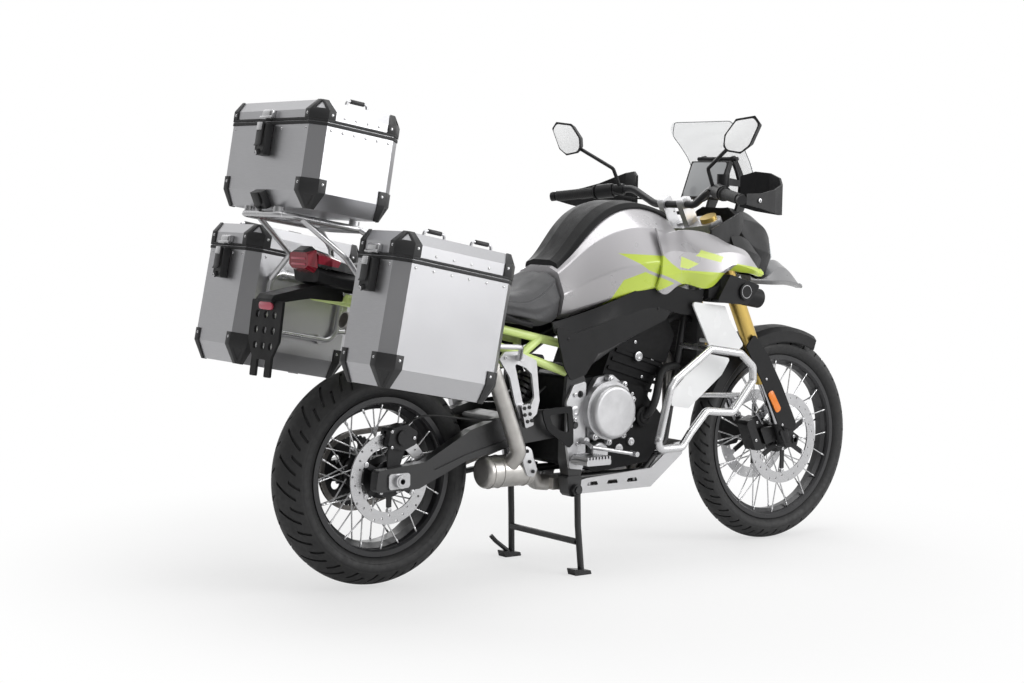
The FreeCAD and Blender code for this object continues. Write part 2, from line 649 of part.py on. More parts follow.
def front_mudguard():
    """Short guard over the tyre, dropped at the sides to the fork legs."""
    crown_r = FRONT.tyre_r + 24
    half = 60.0
    profile = [(-half - 6, crown_r - 44), (-half - 2, crown_r - 10), (-half + 16, crown_r + 4),
               (0, crown_r + 10),
               (half - 16, crown_r + 4), (half + 2, crown_r - 10), (half + 6, crown_r - 44)]
    inner = [(y * 0.95, r - 4) for y, r in reversed(profile)]
    wire = Part.makePolygon([V(FRONT.x + r, y, FRONT.z) for y, r in profile + inner + profile[:1]])
    guard = Part.Face(wire).revolve(V(FRONT.x, 0, FRONT.z), Y_AXIS, -88)
    guard = turned(guard, FRONT.x, FRONT.z, -64)
    boss = to_fork(rod(V(LEG_OFFSET, half, 345), V(LEG_OFFSET, FORK_HALF - OUTER_R - SEAT_GAP, 345), 12))
    return fuse([guard, boss, mirrored(boss)])


FORK_GUARD_Y = (137.0, 142.0)


def fork_guards():
    """Plates outside the stanchions that shield them from stones."""
    guard = plate([(-2, 92), (54, 34), (72, 60), (66, 210), (52, 330), (26, 420), (-24, 400), (-8, 250)],
                  FORK_GUARD_Y, 10)
    foot_tab = box((LEG_OFFSET - 10, LEG_OFFSET + 20), (FORK_HALF + 25 + SEAT_GAP, FORK_GUARD_Y[0] + 1),
                   (58, 80))
    return [to_fork(s) for s in both_sides(fuse([guard, foot_tab]))]


# ---------------------------------------------------------------- engine
CRANKCASE_HALF = 150.0
CASE_REAR_X = 668.0
CASE_FRONT_X = 985.0
CLUTCH_X, CLUTCH_Z = 746.0, 495.0
CLUTCH_R = 82.0


def cylinder_head():
    return plate([(790, 690), (1014, 628), (1048, 716), (1016, 776), (850, 806)], (-134, 134), 14)


def engine():
    """Parallel twin: crankcase, leaning finned block and head, with the output shaft's sprocket."""
    case = plate([(CASE_REAR_X, 326), (720, 306), (930, 322), (CASE_FRONT_X, 380), (CASE_FRONT_X, 470),
                  (935, 520), (905, 560), (720, 600), (CASE_REAR_X, 596)],
                  (-CRANKCASE_HALF, CRANKCASE_HALF), 12)
    pocket = fuse([
        cross_rod(DRIVE_X, DRIVE_Z, (80, CRANKCASE_HALF + 1), 62),
        box((CASE_REAR_X - 9, DRIVE_X), (80, CRANKCASE_HALF + 1), (DRIVE_Z - 62, DRIVE_Z + 62)),
    ])
    block = plate([(742, 560), (930, 500), (1004, 640), (800, 700)], (-128, 128), 6)
    fins = []
    for k in range(4):
        fins.append(plate([(760 + 16 * k, 596 + 26 * k), (956 + 14 * k, 538 + 26 * k),
                           (961 + 14 * k, 548 + 26 * k), (765 + 16 * k, 606 + 26 * k)], (-134, 134), 2))
    tip = pitch_r(FRONT_TEETH) - ROLLER_R - TOOTH_GAP
    shaft = cross_rod(DRIVE_X, DRIVE_Z, (79, CHAIN_Y + 12), 14)
    wheel = cross_rod(DRIVE_X, DRIVE_Z, (CHAIN_Y - SPROCKET_THICK / 2, CHAIN_Y + SPROCKET_THICK / 2), tip)
    return fuse([case.cut(pocket), block, cylinder_head(), shaft, wheel] + fins)


def clutch_cover():
    """Right-hand cover: a broad flange with a raised round cap."""
    inner = -CRANKCASE_HALF
    flange = plate([(CASE_REAR_X, 470), (678, 560), (706, 600), (764, 606), (830, 560), (842, 480),
                    (800, 412), (CASE_REAR_X + 2, 410)], (inner - 22, inner - SEAT_GAP), 16)
    mid = cross_rod(CLUTCH_X - 6, CLUTCH_Z + 4, (inner - 44, inner - 20), CLUTCH_R + 8)
    cap = cross_rod(CLUTCH_X, CLUTCH_Z, (inner - 66, inner - 40), CLUTCH_R)
    rims = [e for e in cap.Edges if e.Closed and e.CenterOfMass.y < inner - 60]
    return fuse([flange, mid, cap.makeFillet(12, rims)])


def oil_filter():
    can = cross_rod(716, 368, (-CRANKCASE_HALF - 30, -CRANKCASE_HALF - SEAT_GAP), 33)
    rims = [e for e in can.Edges if e.Closed and e.CenterOfMass.y < -CRANKCASE_HALF - 20]
    return can.makeFillet(6, rims)


def alternator_cover():
    """Left-hand covers: the alternator and the front sprocket."""
    inner = CRANKCASE_HALF + SEAT_GAP
    alternator = cross_rod(868, 440, (inner, inner + 44), 84)
    rims = [e for e in alternator.Edges if e.Closed and e.CenterOfMass.y > inner + 40]
    sprocket_cover = plate([(682, 392), (790, 384), (800, 540), (700, 556), (678, 520)],
                           (inner, inner + 18), 16)
    return fuse([alternator.makeFillet(12, rims), sprocket_cover])


# ---------------------------------------------------------------- exhaust
HEADER_R = 17.0
LINK_R = 24.0
CHAMBER_R = 48.0


def exhaust_pipes():
    """Two headers under the engine into a catalyst chamber, then the link pipe up to the muffler."""
    pipes = []
    for y, y_low in ((-60, -76), (60, -34)):
        pipes.append(tube([V(1020, y, 680), V(1086, y, 650), V(1092, y, 470), V(956, y_low, 270),
                           V(640, y_low, 270)], HEADER_R, 34))
    joiner = box((600, 652), (-96, -14), (252, 288))
    link = tube([V(604, -58, 270), V(556, -60, 276), V(500, -104, 322), V(470, -128, 330)], LINK_R, 40)
    chamber = rod(V(474, -136, 332), V(296, -136, 332), CHAMBER_R)
    rims = [e for e in chamber.Edges if e.Closed and e.Length > 200]
    chamber = chamber.makeFillet(14, rims)
    riser = tube([V(378, -150, 338), V(392, -194, 392), V(284, -206, 634), MUFFLER_START + V(8, 0, -3)],
                 LINK_R, 40)
    pipes = [pipe.cut(cylinder_head()) for pipe in pipes]
    return fuse(pipes + [joiner, link, chamber, riser.cut(muffler())])


MUFFLER_START = V(258, -206, 656)
MUFFLER_END = V(-196, -206, 790)


def muffler():
    """Oval-ended can that climbs beside the wheel behind the right case."""
    can = rod(MUFFLER_START, MUFFLER_END, 52)
    rims = [e for e in can.Edges if e.Closed and e.Length > 200]
    can = can.makeFillet(14, rims)
    axis = (MUFFLER_END - MUFFLER_START).normalize()
    outlet = rod(MUFFLER_END - axis, MUFFLER_END + axis * 36, 24)
    hole = rod(MUFFLER_END - axis * 10, MUFFLER_END + axis * 40, 21)
    tab = fuse([box((44, 70), (-166, -160), (740, 808)), box((44, 70), (-166, -141.5), (800, 808))])
    return fuse([can, outlet, tab]).cut(hole)


# ---------------------------------------------------------------- frame
HEAD_LOW = fork_point(0, 0, LOWER_YOKE[1] + 1)
HEAD_HIGH = fork_point(0, 0, UPPER_YOKE[0] - 1)
SPAR_R = 17.0
SHOCK_TUBE_X, SHOCK_TUBE_Z = 622.0, 628.0
TANK_POST_X = 1040.0
FORK_SWEEP = 168.0          # what is fixed ahead of the head stays outside this radius about it
UPRIGHT_Y = (ARM_INNER + ARM_THICK + SEAT_GAP, 160.0)
CRADLE_Y = 118.0
CRADLE_Z = 288.0
STAND_X, STAND_Z = 638.0, 258.0


def spar():
    return tube([fork_point(-22, 14, 700), V(1122, 142, 850), V(760, 166, 700), V(622, 154, 620)], SPAR_R, 60)


def upright():
    return plate([(588, 400), (650, 400), (658, 520), (CASE_REAR_X - SEAT_GAP, 540),
                  (CASE_REAR_X - SEAT_GAP, 590), (648, 640), (600, 640), (588, 520)], UPRIGHT_Y, 6)


def down_tube():
    return tube([fork_point(-14, 20, 655), V(1112, CRADLE_Y - 4, 800), V(1030, CRADLE_Y, 380),
                 V(940, CRADLE_Y, CRADLE_Z), V(650, CRADLE_Y, CRADLE_Z)], 12, 40)


def main_frame():
    """Steering head, top spars, down tubes, cradle and the pivot uprights."""
    head = rod(HEAD_LOW, HEAD_HIGH, HEAD_TUBE_R)
    mount = box((CASE_FRONT_X + SEAT_GAP, 1030), (CRADLE_Y - 9, CRADLE_Y + 9), (392, 426))
    hanger = plate([(606, 421), (652, 421), (668, 310), (656, 274), (622, 274), (606, 350)],
                   (CRADLE_Y - 8, UPRIGHT_Y[0] + 4), 8)
    stay_reach = math.sqrt(FORK_SWEEP ** 2 - 26 ** 2) - SEAT_GAP
    stay = to_fork(rod(V(HEAD_TUBE_R - 4, 17, 716), V(stay_reach, 17, 716), 9))
    post_top = min(tank_floor(TANK_POST_X - 10), tank_floor(TANK_POST_X + 10)) - SEAT_GAP
    tank_post = rod(V(TANK_POST_X, 146, 815), V(TANK_POST_X, 146, post_top), 10)
    side = fuse([spar(), upright(), down_tube(), mount, hanger, stay, tank_post])
    cross_tube = cross_rod(SHOCK_TUBE_X, SHOCK_TUBE_Z, (-150, 150), 14)
    frame = fuse([head, side, mirrored(side), cross_tube] + stand_lugs())
    stem_bore = rod(fork_point(0, 0, 500), fork_point(0, 0, 900), STEM_R + RUN_GAP)
    bolt_hole = cross_rod(PIVOT_X, PIVOT_Z, (-300, 300), 9.0)
    return frame.cut(Part.makeCompound([stem_bore, bolt_hole]))


def pivot_bolt():
    end = UPRIGHT_Y[1] + 14
    return cross_rod(PIVOT_X, PIVOT_Z, (-end, end), 9.0 - RUN_GAP)


def pivot_plates():
    """Cast outer plates between the swingarm pivot and the foot pegs."""
    outline_points = [(588, 420), (588, 530), (614, 580), (662, 590), (662, 470), (664, 363), (654, 320),
                      (604, 326)]
    body = plate(outline_points, (UPRIGHT_Y[1] + SEAT_GAP, UPRIGHT_Y[1] + 10), 8)
    hole = cross_rod(PIVOT_X, PIVOT_Z, (100, 300), 12)
    window = cross_rod(640, 551, (100, 300), 11)
    return both_sides(body.cut(Part.makeCompound([hole, window])))


SUBFRAME_R = 13.0
SUBFRAME_Y = 140.0
BRACKET_Y = 164.0           # inner face of the passenger peg carriers
BRACKET_BOLTS = [(392, 677), (448, 653)]


def rear_subframe():
    """Trellis of round tubes that carries the seat, tail and luggage frames."""
    y = SUBFRAME_Y
    stay = rod(V(594.6, y + 10.4, 619), V(10, y - 14, 822), SUBFRAME_R)
    rail = tube([V(610, y - 12, 700), V(330, y - 8, 762), V(-150, y - 50, 850)], SUBFRAME_R, 60)
    post = rod(V(508, y - 8, 722), V(430, y + 2, 676), SUBFRAME_R)
    root = rod(V(SHOCK_TUBE_X, y - 12, 704), V(SHOCK_TUBE_X, y - 12, SHOCK_TUBE_Z + 14 + SEAT_GAP),
               SUBFRAME_R)
    bosses = [cross_rod(x, z, (y - 6, BRACKET_Y - SEAT_GAP), 11) for x, z in BRACKET_BOLTS]
    side = fuse([stay, rail, post, root] + bosses)
    ties = [cross_rod(-120, 844, (-y + 46, y - 46), 10), cross_rod(330, 762, (-y + 10, y - 10), 10)]
    return fuse([side, mirrored(side)] + ties)


def shock_absorber():
    """Rear damper with its spring between the frame's cross tube and the swingarm bridge."""
    low, high = V(484.5, 0, 458), V(SHOCK_TUBE_X - 20, 0, SHOCK_TUBE_Z + 20.2)
    axis = (high - low).normalize()
    pieces = [rod(low, high, 12), cross_rod(low.x, low.z, (-18, 18), 24),
              cross_rod(high.x, high.z, (-20, 20), 14)]
    for k in range(8):
        start = low + axis * (34 + 17 * k)
        pieces.append(rod(start, start + axis * 9, 34))
    pieces.append(rod(low + axis * 178, low + axis * 200, 24))
    return fuse(pieces)


CRASH_Y = 275.0
CRASH_LOOP = [
    # x, z of the loop's corners, from its lower rear corner forwards over the top
    (838, 380), (870, 414), (909, 563), (930, 592), (1075, 683), (1203, 664), (1259, 619), (1261, 575),
    (1175, 478), (1063, 488), (998, 424), (962, 380),
]
CRASH_STAYS = [
    # loop end x, z; frame end x, z; radius
    (966, 384, 990, 342, 10), (1075, 683, 1090, 683, 10), (1228, 530, 1062, 524, 8),
]


def crash_bars(frame):
    """Closed stainless loops beside the engine, each on three stays from the down tube."""
    loop = closed_tube([V(x, CRASH_Y, z) for x, z in CRASH_LOOP], 12.5, 22)
    stays = []
    for x, z, frame_x, frame_z, radius in CRASH_STAYS:
        stays.append(rod(V(x, CRASH_Y - 2, z), V(frame_x, CRADLE_Y, frame_z), radius))
    side = fuse([loop] + stays).cut(frame)
    return both_sides(max(side.Solids, key=lambda piece: piece.Volume))


def skid_plate():
    """Folded aluminium sheet under the engine, its sides slotted."""
    bottom = plate([(666, 240), (960, 240), (1090, 336), (1100, 376), (1094, 378), (1084, 340), (958, 246),
                    (666, 246)], (-132, 132), 0)
    wing = plate([(666, 240), (960, 240), (1090, 336), (1100, 376), (1060, 372), (960, 300), (700, 286),
                  (668, 280)], (131, 137), 0)
    slots = [plate([(x, 262), (x + 46, 262), (x + 40, 274), (x + 6, 274)], (120, 140), 3)
             for x in (700, 780, 860)]
    wing = wing.cut(Part.makeCompound(slots))
    posts = [rod(V(x, CRADLE_Y, 243), V(x, CRADLE_Y, CRADLE_Z - 12 - SEAT_GAP), 9) for x in (720, 905)]
    side = fuse([wing] + posts)
    return fuse([bottom, side, mirrored(side)])


# ---------------------------------------------------------------- radiator
RADIATOR_X = 1134.0


def radiator():
    """Core with its end tanks, between the down tubes and the fork."""
    core = box((0, 26), (-128, 128), (0, 230))
    tanks = [box((-4, 30), (y, y + 26), (-4, 234)) for y in (-152, 126)]
    fins = [box((-3, 29), (-127, 127), (14 + 16 * k, 18 + 16 * k)) for k in range(14)]
    whole = fuse([core] + tanks + fins)
    whole.translate(V(RADIATOR_X, 0, 560))
    lugs = []
    for x, z in ((1070, 590), (1098, 756)):
        lugs.append(box((x, RADIATOR_X - 3), (CRADLE_Y - 12, CRADLE_Y + 6), (z, z + 12)))
    lugs = [lug.cut(down_tube()) for lug in lugs]
    lugs = [max(lug.Solids, key=lambda s: s.CenterOfMass.x) for lug in lugs]
    return fuse([whole] + lugs + [mirrored(lug) for lug in lugs])


def radiator_shrouds():
    """White plates outside the radiator, in an upper and a lower piece."""
    upper = [(1049, 827), (1192, 810), (1212, 769), (1276, 684), (1238, 655), (1127, 688), (1069, 790)]
    lower = [(1104, 646), (1140, 659), (1236, 641), (1200, 590), (1060, 489), (990, 500), (978, 533)]
    plates = [(plate(upper, (206, 212), 8), 207, ((1146, 700), (1146, 770))),
              (plate(lower, (190, 196), 8), 191, ((1146, 600),))]
    pieces = []
    for sheet, reach, studs in plates:
        rods = [cross_rod(x, z, (152 + SEAT_GAP, reach), 7) for x, z in studs]
        pieces += both_sides(fuse([sheet] + rods))
    return pieces


# ---------------------------------------------------------------- tank, seats and panels
TANK_ROWS = [
    # x, then (half width, z): floor, lower side, widest line, shoulder, top edge
    (604, (58, 776), (112, 788), (128, 850), (96, 915), (52, 932)),
    (680, (96, 790), (138, 812), (148, 890), (112, 976), (60, 1004)),
    (780, (118, 815), (180, 846), (200, 935), (146, 1040), (70, 1094)),
    (880, (140, 822), (205, 872), (230, 952), (176, 1058), (76, 1122)),
    (985, (150, 846), (200, 886), (224, 950), (172, 1036), (76, 1110)),
    (1066, (150, 872), (184, 896), (204, 940), (158, 1006), (70, 1078)),
]
TANK_CORNER = 14.0


def tank_floor(x):
    """Height of the tank's underside at x."""
    for (x0, (_, z0), *_), (x1, (_, z1), *_) in zip(TANK_ROWS, TANK_ROWS[1:]):
        if x0 <= x <= x1:
            return z0 + (z1 - z0) * (x - x0) / (x1 - x0)
    raise ValueError("the tank post stands outside the tank")


def fuel_tank():
    return hull_body(TANK_ROWS, TANK_CORNER)


def tank_cover(tank):
    """Dark centre cover that runs over the top of the tank."""
    rows = [
        (612, (66, 890), (84, 916), (76, 944), (40, 954)),
        (690, (72, 974), (92, 1004), (82, 1022), (40, 1030)),
        (800, (80, 1072), (98, 1094), (88, 1112), (44, 1122)),
        (920, (76, 1092), (92, 1118), (80, 1132), (40, 1138)),
        (1050, (70, 1060), (82, 1088), (70, 1104), (36, 1110)),
    ]
    cover = hull_body(rows, 6).cut(tank)
    return max(cover.Solids, key=lambda s: s.Volume)


RIDER_ROWS = [
    (300, (110, 800), (150, 806), (164, 842), (140, 872), (60, 884)),
    (400, (105, 782), (152, 790), (168, 822), (140, 852), (60, 862)),
    (500, (80, 760), (140, 770), (152, 815), (125, 862), (60, 876)),
    (575, (60, 752), (118, 768), (134, 830), (108, 896), (56, 916)),
    (TANK_ROWS[0][0] - SEAT_GAP, (54, 776), (106, 788), (122, 846), (92, 906), (50, 924)),
]
PASSENGER_ROWS = [
    (-96, (56, 890), (92, 894), (98, 910), (84, 928), (40, 936)),
    (60, (80, 884), (130, 890), (140, 914), (120, 940), (50, 950)),
    (220, (90, 872), (145, 880), (154, 904), (130, 930), (55, 940)),
    (300 - SEAT_GAP, (90, 802), (140, 812), (152, 850), (128, 900), (55, 912)),
]


def rider_seat():
    return hull_body(RIDER_ROWS, 12)


def passenger_seat():
    return hull_body(PASSENGER_ROWS, 10)


def tail_unit():
    """Tail cover under the seats, open below, with its grab rails and the rear fender."""
    outer = hull_body([
        (-226, (40, 896), (62, 900), (70, 930), (44, 946)),
        (-100, (80, 860), (110, 868), (112, 900), (70, 912)),
        (120, (110, 820), (152, 832), (156, 880), (90, 890)),
        (330, (120, 776), (160, 788), (164, 812), (100, 822)),
        (470, (110, 744), (146, 754), (150, 772), (90, 784)),
    ], 8)
    inner = hull_body([
        (-190, (34, 880), (54, 892), (60, 918), (38, 930)),
        (-100, (74, 840), (104, 850), (106, 892), (64, 904)),
        (120, (104, 800), (146, 812), (150, 872), (84, 882)),
        (330, (114, 750), (154, 762), (158, 804), (94, 814)),
        (480, (104, 720), (140, 730), (144, 764), (84, 776)),
    ], 8)
    shell = outer.cut(inner)
    for rows in (RIDER_ROWS, PASSENGER_ROWS):
        shell = shell.cut(hull_body(grown(rows, SEAT_GAP), 10))
    return max(shell.Solids, key=lambda s: s.Volume)


PANEL_Y = (183.3, 189.0)


def side_panels(tank):
    """Dark covers below the tank and beside the engine's top, one each side."""
    lower = [(526, 762), (600, 738), (700, 764), (800, 794), (890, 818), (985, 796), (960, 770), (690, 672),
             (644, 612), (588, 596), (560, 640), (546, 690)]
    cover = plate(lower, PANEL_Y, 8)
    band = panel([
        # the strip that follows the tank's lower edge
        (526, (182, 742), (170, 772)),
        (610, (189, 730), (150, 784)),
        (700, (189, 756), (168, 812)),
        (800, (189, 786), (192, 852)),
        (890, (189, 808), (202, 882)),
        (985, (189, 796), (202, 878)),
        (1106, (196, 806), (204, 866)),
    ], 5)
    boss = cross_rod(858, 676, (181, 193), 17)
    arm = plate([(700, 676), (850, 700), (876, 690), (872, 662), (846, 656), (700, 650)], (PANEL_Y[0], 188),
                6)
    whole = fuse([cover, boss, arm, band]).cut(tank)
    return both_sides(max(whole.Solids, key=lambda piece: piece.Volume))


WING_ROWS = [
    # x, then (y, z) of the outer face from the lower edge to the top edge
    (900, (214, 872), (236, 915), (240, 975), (204, 1056)),
    (985, (216, 878), (246, 920), (248, 984), (196, 1046)),
    (1066, (220, 872), (254, 914), (254, 978), (186, 1050)),
    (1120, (226, 874), (256, 918), (252, 980), (178, 1044)),
    (1180, (230, 922), (256, 942), (250, 982), (184, 1026)),
    (1225, (232, 920), (254, 938), (248, 976), (206, 1002)),
    (1270, (230, 915), (248, 928), (244, 958), (218, 984)),
    (1300, (226, 910), (238, 920), (236, 938), (216, 956)),
    (1342, (220, 904), (228, 910), (226, 918), (212, 928)),
]


def fairing_wings(tank):
    wing = panel(WING_ROWS, 8).cut(tank)
    wing = max(wing.Solids, key=lambda s: s.Volume)
    return both_sides(wing)


def lamp_covers(frame):
    """Dark side boxes under the wings, each with a round boss and a fog lamp at its front."""
    back = panel([
        (1114, (190, 826), (216, 838), (218, 866), (206, 872)),
        (1180, (190, 820), (226, 834), (228, 880), (212, 896)),
        (1288, (188, 818), (224, 832), (228, 870), (212, 886)),
    ], 24)
    face = plate([(1124, 826), (1256, 814), (1312, 876), (1180, 912)], (210, 246), 8)
    boss = cross_rod(1244, 857, (240, 254), 27)
    lamp = rod(V(1276, 210, 842), V(1338, 210, 832), 31)
    hollow = rod(V(1333, 210, 833), V(1344, 210, 831), 27)
    lug = box((1118, 1142), (140, 196), (842, 858))
    whole = fuse([back, face, boss, lamp, lug]).cut(hollow).cut(frame)
    return both_sides(max(whole.Solids, key=lambda piece: piece.Volume))


def nose_fairing(wings):
    """Central fairing ahead of the steering head with its cheeks and stays, hollowed for the turning fork."""
    body = hull_body([
        (1330, (96, 1010), (130, 1046), (122, 1086), (60, 1124)),
        (1400, (100, 930), (134, 990), (118, 1076), (55, 1112)),
        (1460, (92, 905), (122, 975), (100, 1060), (45, 1092)),
        (1506, (68, 905), (92, 960), (80, 1025), (35, 1052)),
    ], 10)
    cheek = panel([
        (1240, (194, 968), (194, 1000), (178, 1030)),
        (1300, (196, 942), (196, 986), (172, 1028)),
        (1352, (176, 930), (180, 974), (156, 1004)),
        (1440, (104, 922), (114, 948), (104, 968)),
    ], 9)
    stay = panel([
        (1160, (175, 1022), (175, 1052)),
        (1240, (178, 1012), (175, 1086)),
        (1332, (140, 1070), (134, 1112)),
    ], 9)
    sweep = to_fork(rod(V(0, 0, 200), V(0, 0, 1000), FORK_SWEEP))
    bar_sweep = to_fork(rod(V(0, 0, 865), V(0, 0, 1000), 200))
    whole = fuse([body] + both_sides(cheek) + both_sides(stay)).cut(sweep).cut(bar_sweep)
    for wing in wings:
        whole = whole.cut(wing)
    return max(whole.Solids, key=lambda piece: piece.Volume)


def headlamp():
    """Twin lamp unit set in the front of the nose."""
    unit = hull_body([
        (1506 + SEAT_GAP, (62, 912), (86, 958), (74, 1020), (32, 1044)),
        (1532, (50, 926), (70, 960), (60, 1004), (26, 1022)),
    ], 8)
    bowls = [rod(V(1524, y, 966), V(1540, y, 966), 23) for y in (-32, 32)]
    return unit.cut(Part.makeCompound(bowls))


def beak(neighbours):
    """Pointed lip below the lamps."""
    rows = [
        (1420, (70, 874), (92, 886), (84, 900), (40, 902)),
        (1506, (78, 868), (98, 882), (90, 902), (40, 908)),
        (1566, (70, 866), (88, 880), (74, 924), (26, 946)),
        (1650, (44, 864), (58, 872), (48, 900), (20, 914)),
        (1734, (14, 850), (20, 854), (16, 862), (8, 866)),
    ]
    body = hull_body(rows, 4)
    for neighbour in neighbours:
        body = body.cut(neighbour)
    return max(body.Solids, key=lambda s: s.Volume)


SCREEN_ROWS = [
    # edge x, z, half width, how far the middle lies ahead of the edges
    (1390, 1150, 138, 32),
    (1382, 1196, 141, 28),
    (1362, 1250, 143, 24),
    (1324, 1308, 146, 20),
    (1292, 1354, 162, 15),
    (1268, 1400, 134, 8),
]
SCREEN_THICK = 4.0


def windscreen():
    wires = []
    for x, z, half, bow in SCREEN_ROWS:
        t = SCREEN_THICK
        outer = Part.Arc(V(x, -half, z), V(x + bow, 0, z), V(x, half, z)).toShape()
        inner = Part.Arc(V(x - t, half, z), V(x + bow - t, 0, z), V(x - t, -half, z)).toShape()
        ends = [Part.makeLine(V(x, half, z), V(x - t, half, z)),
                Part.makeLine(V(x - t, -half, z), V(x, -half, z))]
        wires.append(Part.Wire([outer, ends[0], inner, ends[1]]))
    return loft(wires)


def instrument(neighbours):
    """Display and crossbar on two arms behind the screen; the arms also carry the windscreen."""
    arm = plate([(1348, 1080), (1376, 1080), (1412, 1150), (1404, 1200), (1380, 1256), (1352, 1292),
                 (1332, 1286), (1356, 1244), (1376, 1196), (1372, 1150)], (64, 76), 4)
    bracket = plate([(1290, 1196), (1384, 1190), (1384, 1210), (1298, 1222)], (64, 76), 0)
    display = plate([(1262, 1150), (1278, 1144), (1326, 1268), (1310, 1274)], (-90, 90), 5)
    crossbar = cross_rod(1342, 1280, (-92, 92), 7)
    pod = fuse(both_sides(arm) + both_sides(bracket) + [display, crossbar])
    for neighbour in neighbours:
        pod = pod.cut(neighbour)
    return max(pod.Solids, key=lambda piece: piece.Volume)


# ---------------------------------------------------------------- foot controls, stands and racks
def peg_brackets():
    """Passenger peg carriers: open trusses under the tail."""
    body = plate([(330, 670), (350, 690), (402, 690), (468, 660), (482, 540), (472, 500), (442, 478),
                  (410, 490), (390, 540), (370, 614)], (BRACKET_Y, BRACKET_Y + 8), 8)
    window = plate([(386, 656), (428, 640), (452, 620), (462, 552), (444, 514), (418, 538), (400, 606)],
                   (150, 190), 6)
    return both_sides(body.cut(window))


def heel_guards():
    """Open black plates on the pivot plates, behind the rider's feet."""
    face = UPRIGHT_Y[1] + 10 + SEAT_GAP
    guard = plate([(490, 512), (604, 518), (610, 470), (612, 404), (596, 390), (556, 420), (512, 450),
                   (498, 480)],
                  (face, face + 6), 8)
    window = plate([(518, 494), (588, 498), (594, 436), (560, 446), (530, 466)], (face - 4, face + 10), 6)
    return both_sides(guard.cut(window))


def foot_pegs():
    """Rider's serrated pegs and the passenger's pegs folded against their carriers."""
    pieces = []
    for side in (1, -1):
        rider = plate([(596, 344), (690, 344), (690, 362), (596, 362)], (182, 262), 6)
        teeth = [box((600 + 12 * k, 606 + 12 * k), (188, 260), (361, 370)) for k in range(8)]
        hanger = plate([(620, 336), (668, 336), (668, 372), (620, 372)],
                       (UPRIGHT_Y[1] + 10 + SEAT_GAP, 184), 5)
        passenger = plate([(400, 530), (432, 536), (448, 470), (418, 462)],
                          (BRACKET_Y + 8 + SEAT_GAP, BRACKET_Y + 26), 5)
        for shape in (fuse([rider, hanger] + teeth), passenger):
            pieces.append(shape if side > 0 else mirrored(shape))
    return pieces


def pedals():
    """Gear lever on the left, brake pedal on the right, each on the pivot plate."""
    y = UPRIGHT_Y[1] + 10 + SEAT_GAP
    gear = fuse([cross_rod(650, 410, (y, y + 22), 11), rod(V(650, y + 15, 410), V(800, y + 40, 380), 6),
                 cross_rod(800, 380, (y + 30, y + 66), 8)])
    brake = fuse([cross_rod(650, 410, (-y - 22, -y), 11), rod(V(650, -y - 15, 410), V(640, -y - 60, 396), 6),
                  rod(V(640, -y - 60, 396), V(794, -y - 74, 368), 6),
                  cross_rod(794, 368, (-y - 92, -y - 60), 8)])
    return [gear, brake]


STAND_EYE_Y = 164.0
STAND_FOOT_X = 652.0
STAND_BOLT_R = 8.0


def centre_stand():
    """Two legs outside the frame's lugs, a brace and broad feet that stand on the floor."""
    pieces = []
    for side in (1, -1):
        y = side * STAND_EYE_Y
        foot_y = side * (STAND_EYE_Y + 12)
        pieces.append(cross_rod(STAND_X, STAND_Z, sorted((y - side * 7, y + side * 7)), 17))
        leg_y = y + side * 4
        pieces.append(tube([V(STAND_X, leg_y, STAND_Z - 14), V(STAND_X + 4, leg_y, 150),
                            V(STAND_FOOT_X, foot_y, 8)],
                           10, 60))
        pieces.append(plate([(STAND_FOOT_X - 36, 0), (STAND_FOOT_X + 26, 0), (STAND_FOOT_X + 22, 12),
                             (STAND_FOOT_X - 42, 20)], sorted((foot_y - side * 18, foot_y + side * 20)), 2))
    pieces.append(rod(V(STAND_X + 5, -STAND_EYE_Y, 98), V(STAND_X + 5, STAND_EYE_Y, 98), 10))
    tang = tube([V(STAND_FOOT_X - 10, STAND_EYE_Y + 14, 14), V(STAND_FOOT_X - 60, STAND_EYE_Y + 18, 52),
                 V(STAND_FOOT_X - 74, STAND_EYE_Y + 26, 70)], 7, 14)
    body = fuse(pieces + [tang])
    bolt_hole = cross_rod(STAND_X, STAND_Z, (-300, 300), STAND_BOLT_R + RUN_GAP)
    return body.cut(bolt_hole)


SIDE_STAND = V(690, 216, 302)
SIDE_STAND_TILT = 24.0      # the hinge pin points this far up from straight across
SIDE_STAND_LENGTH = 250.0
SIDE_STAND_FOLDED = 82.0    # degrees back from straight down


def side_stand_direction(degrees):
    """Direction of the leg, turned forward from straight down about the tilted pin."""
    tilt, angle = math.radians(SIDE_STAND_TILT), math.radians(degrees)
    return V(math.sin(angle), math.cos(angle) * math.sin(tilt), -math.cos(angle) * math.cos(tilt))


def side_stand():
    """Single leg on the left, drawn folded back."""
    pin = V(0, math.cos(math.radians(SIDE_STAND_TILT)), math.sin(math.radians(SIDE_STAND_TILT)))
    along = side_stand_direction(-SIDE_STAND_FOLDED)
    tip = SIDE_STAND + along * SIDE_STAND_LENGTH
    eye = rod(SIDE_STAND - pin * 10, SIDE_STAND + pin * 10, 17)
    leg = rod(SIDE_STAND + along * 12, tip, 9.5)
    sole = rod(tip - along * 4, tip + along * 6, 26)
    hole = rod(SIDE_STAND - pin * 40, SIDE_STAND + pin * 40, STAND_BOLT_R + RUN_GAP)
    return fuse([eye, leg, sole]).cut(hole)


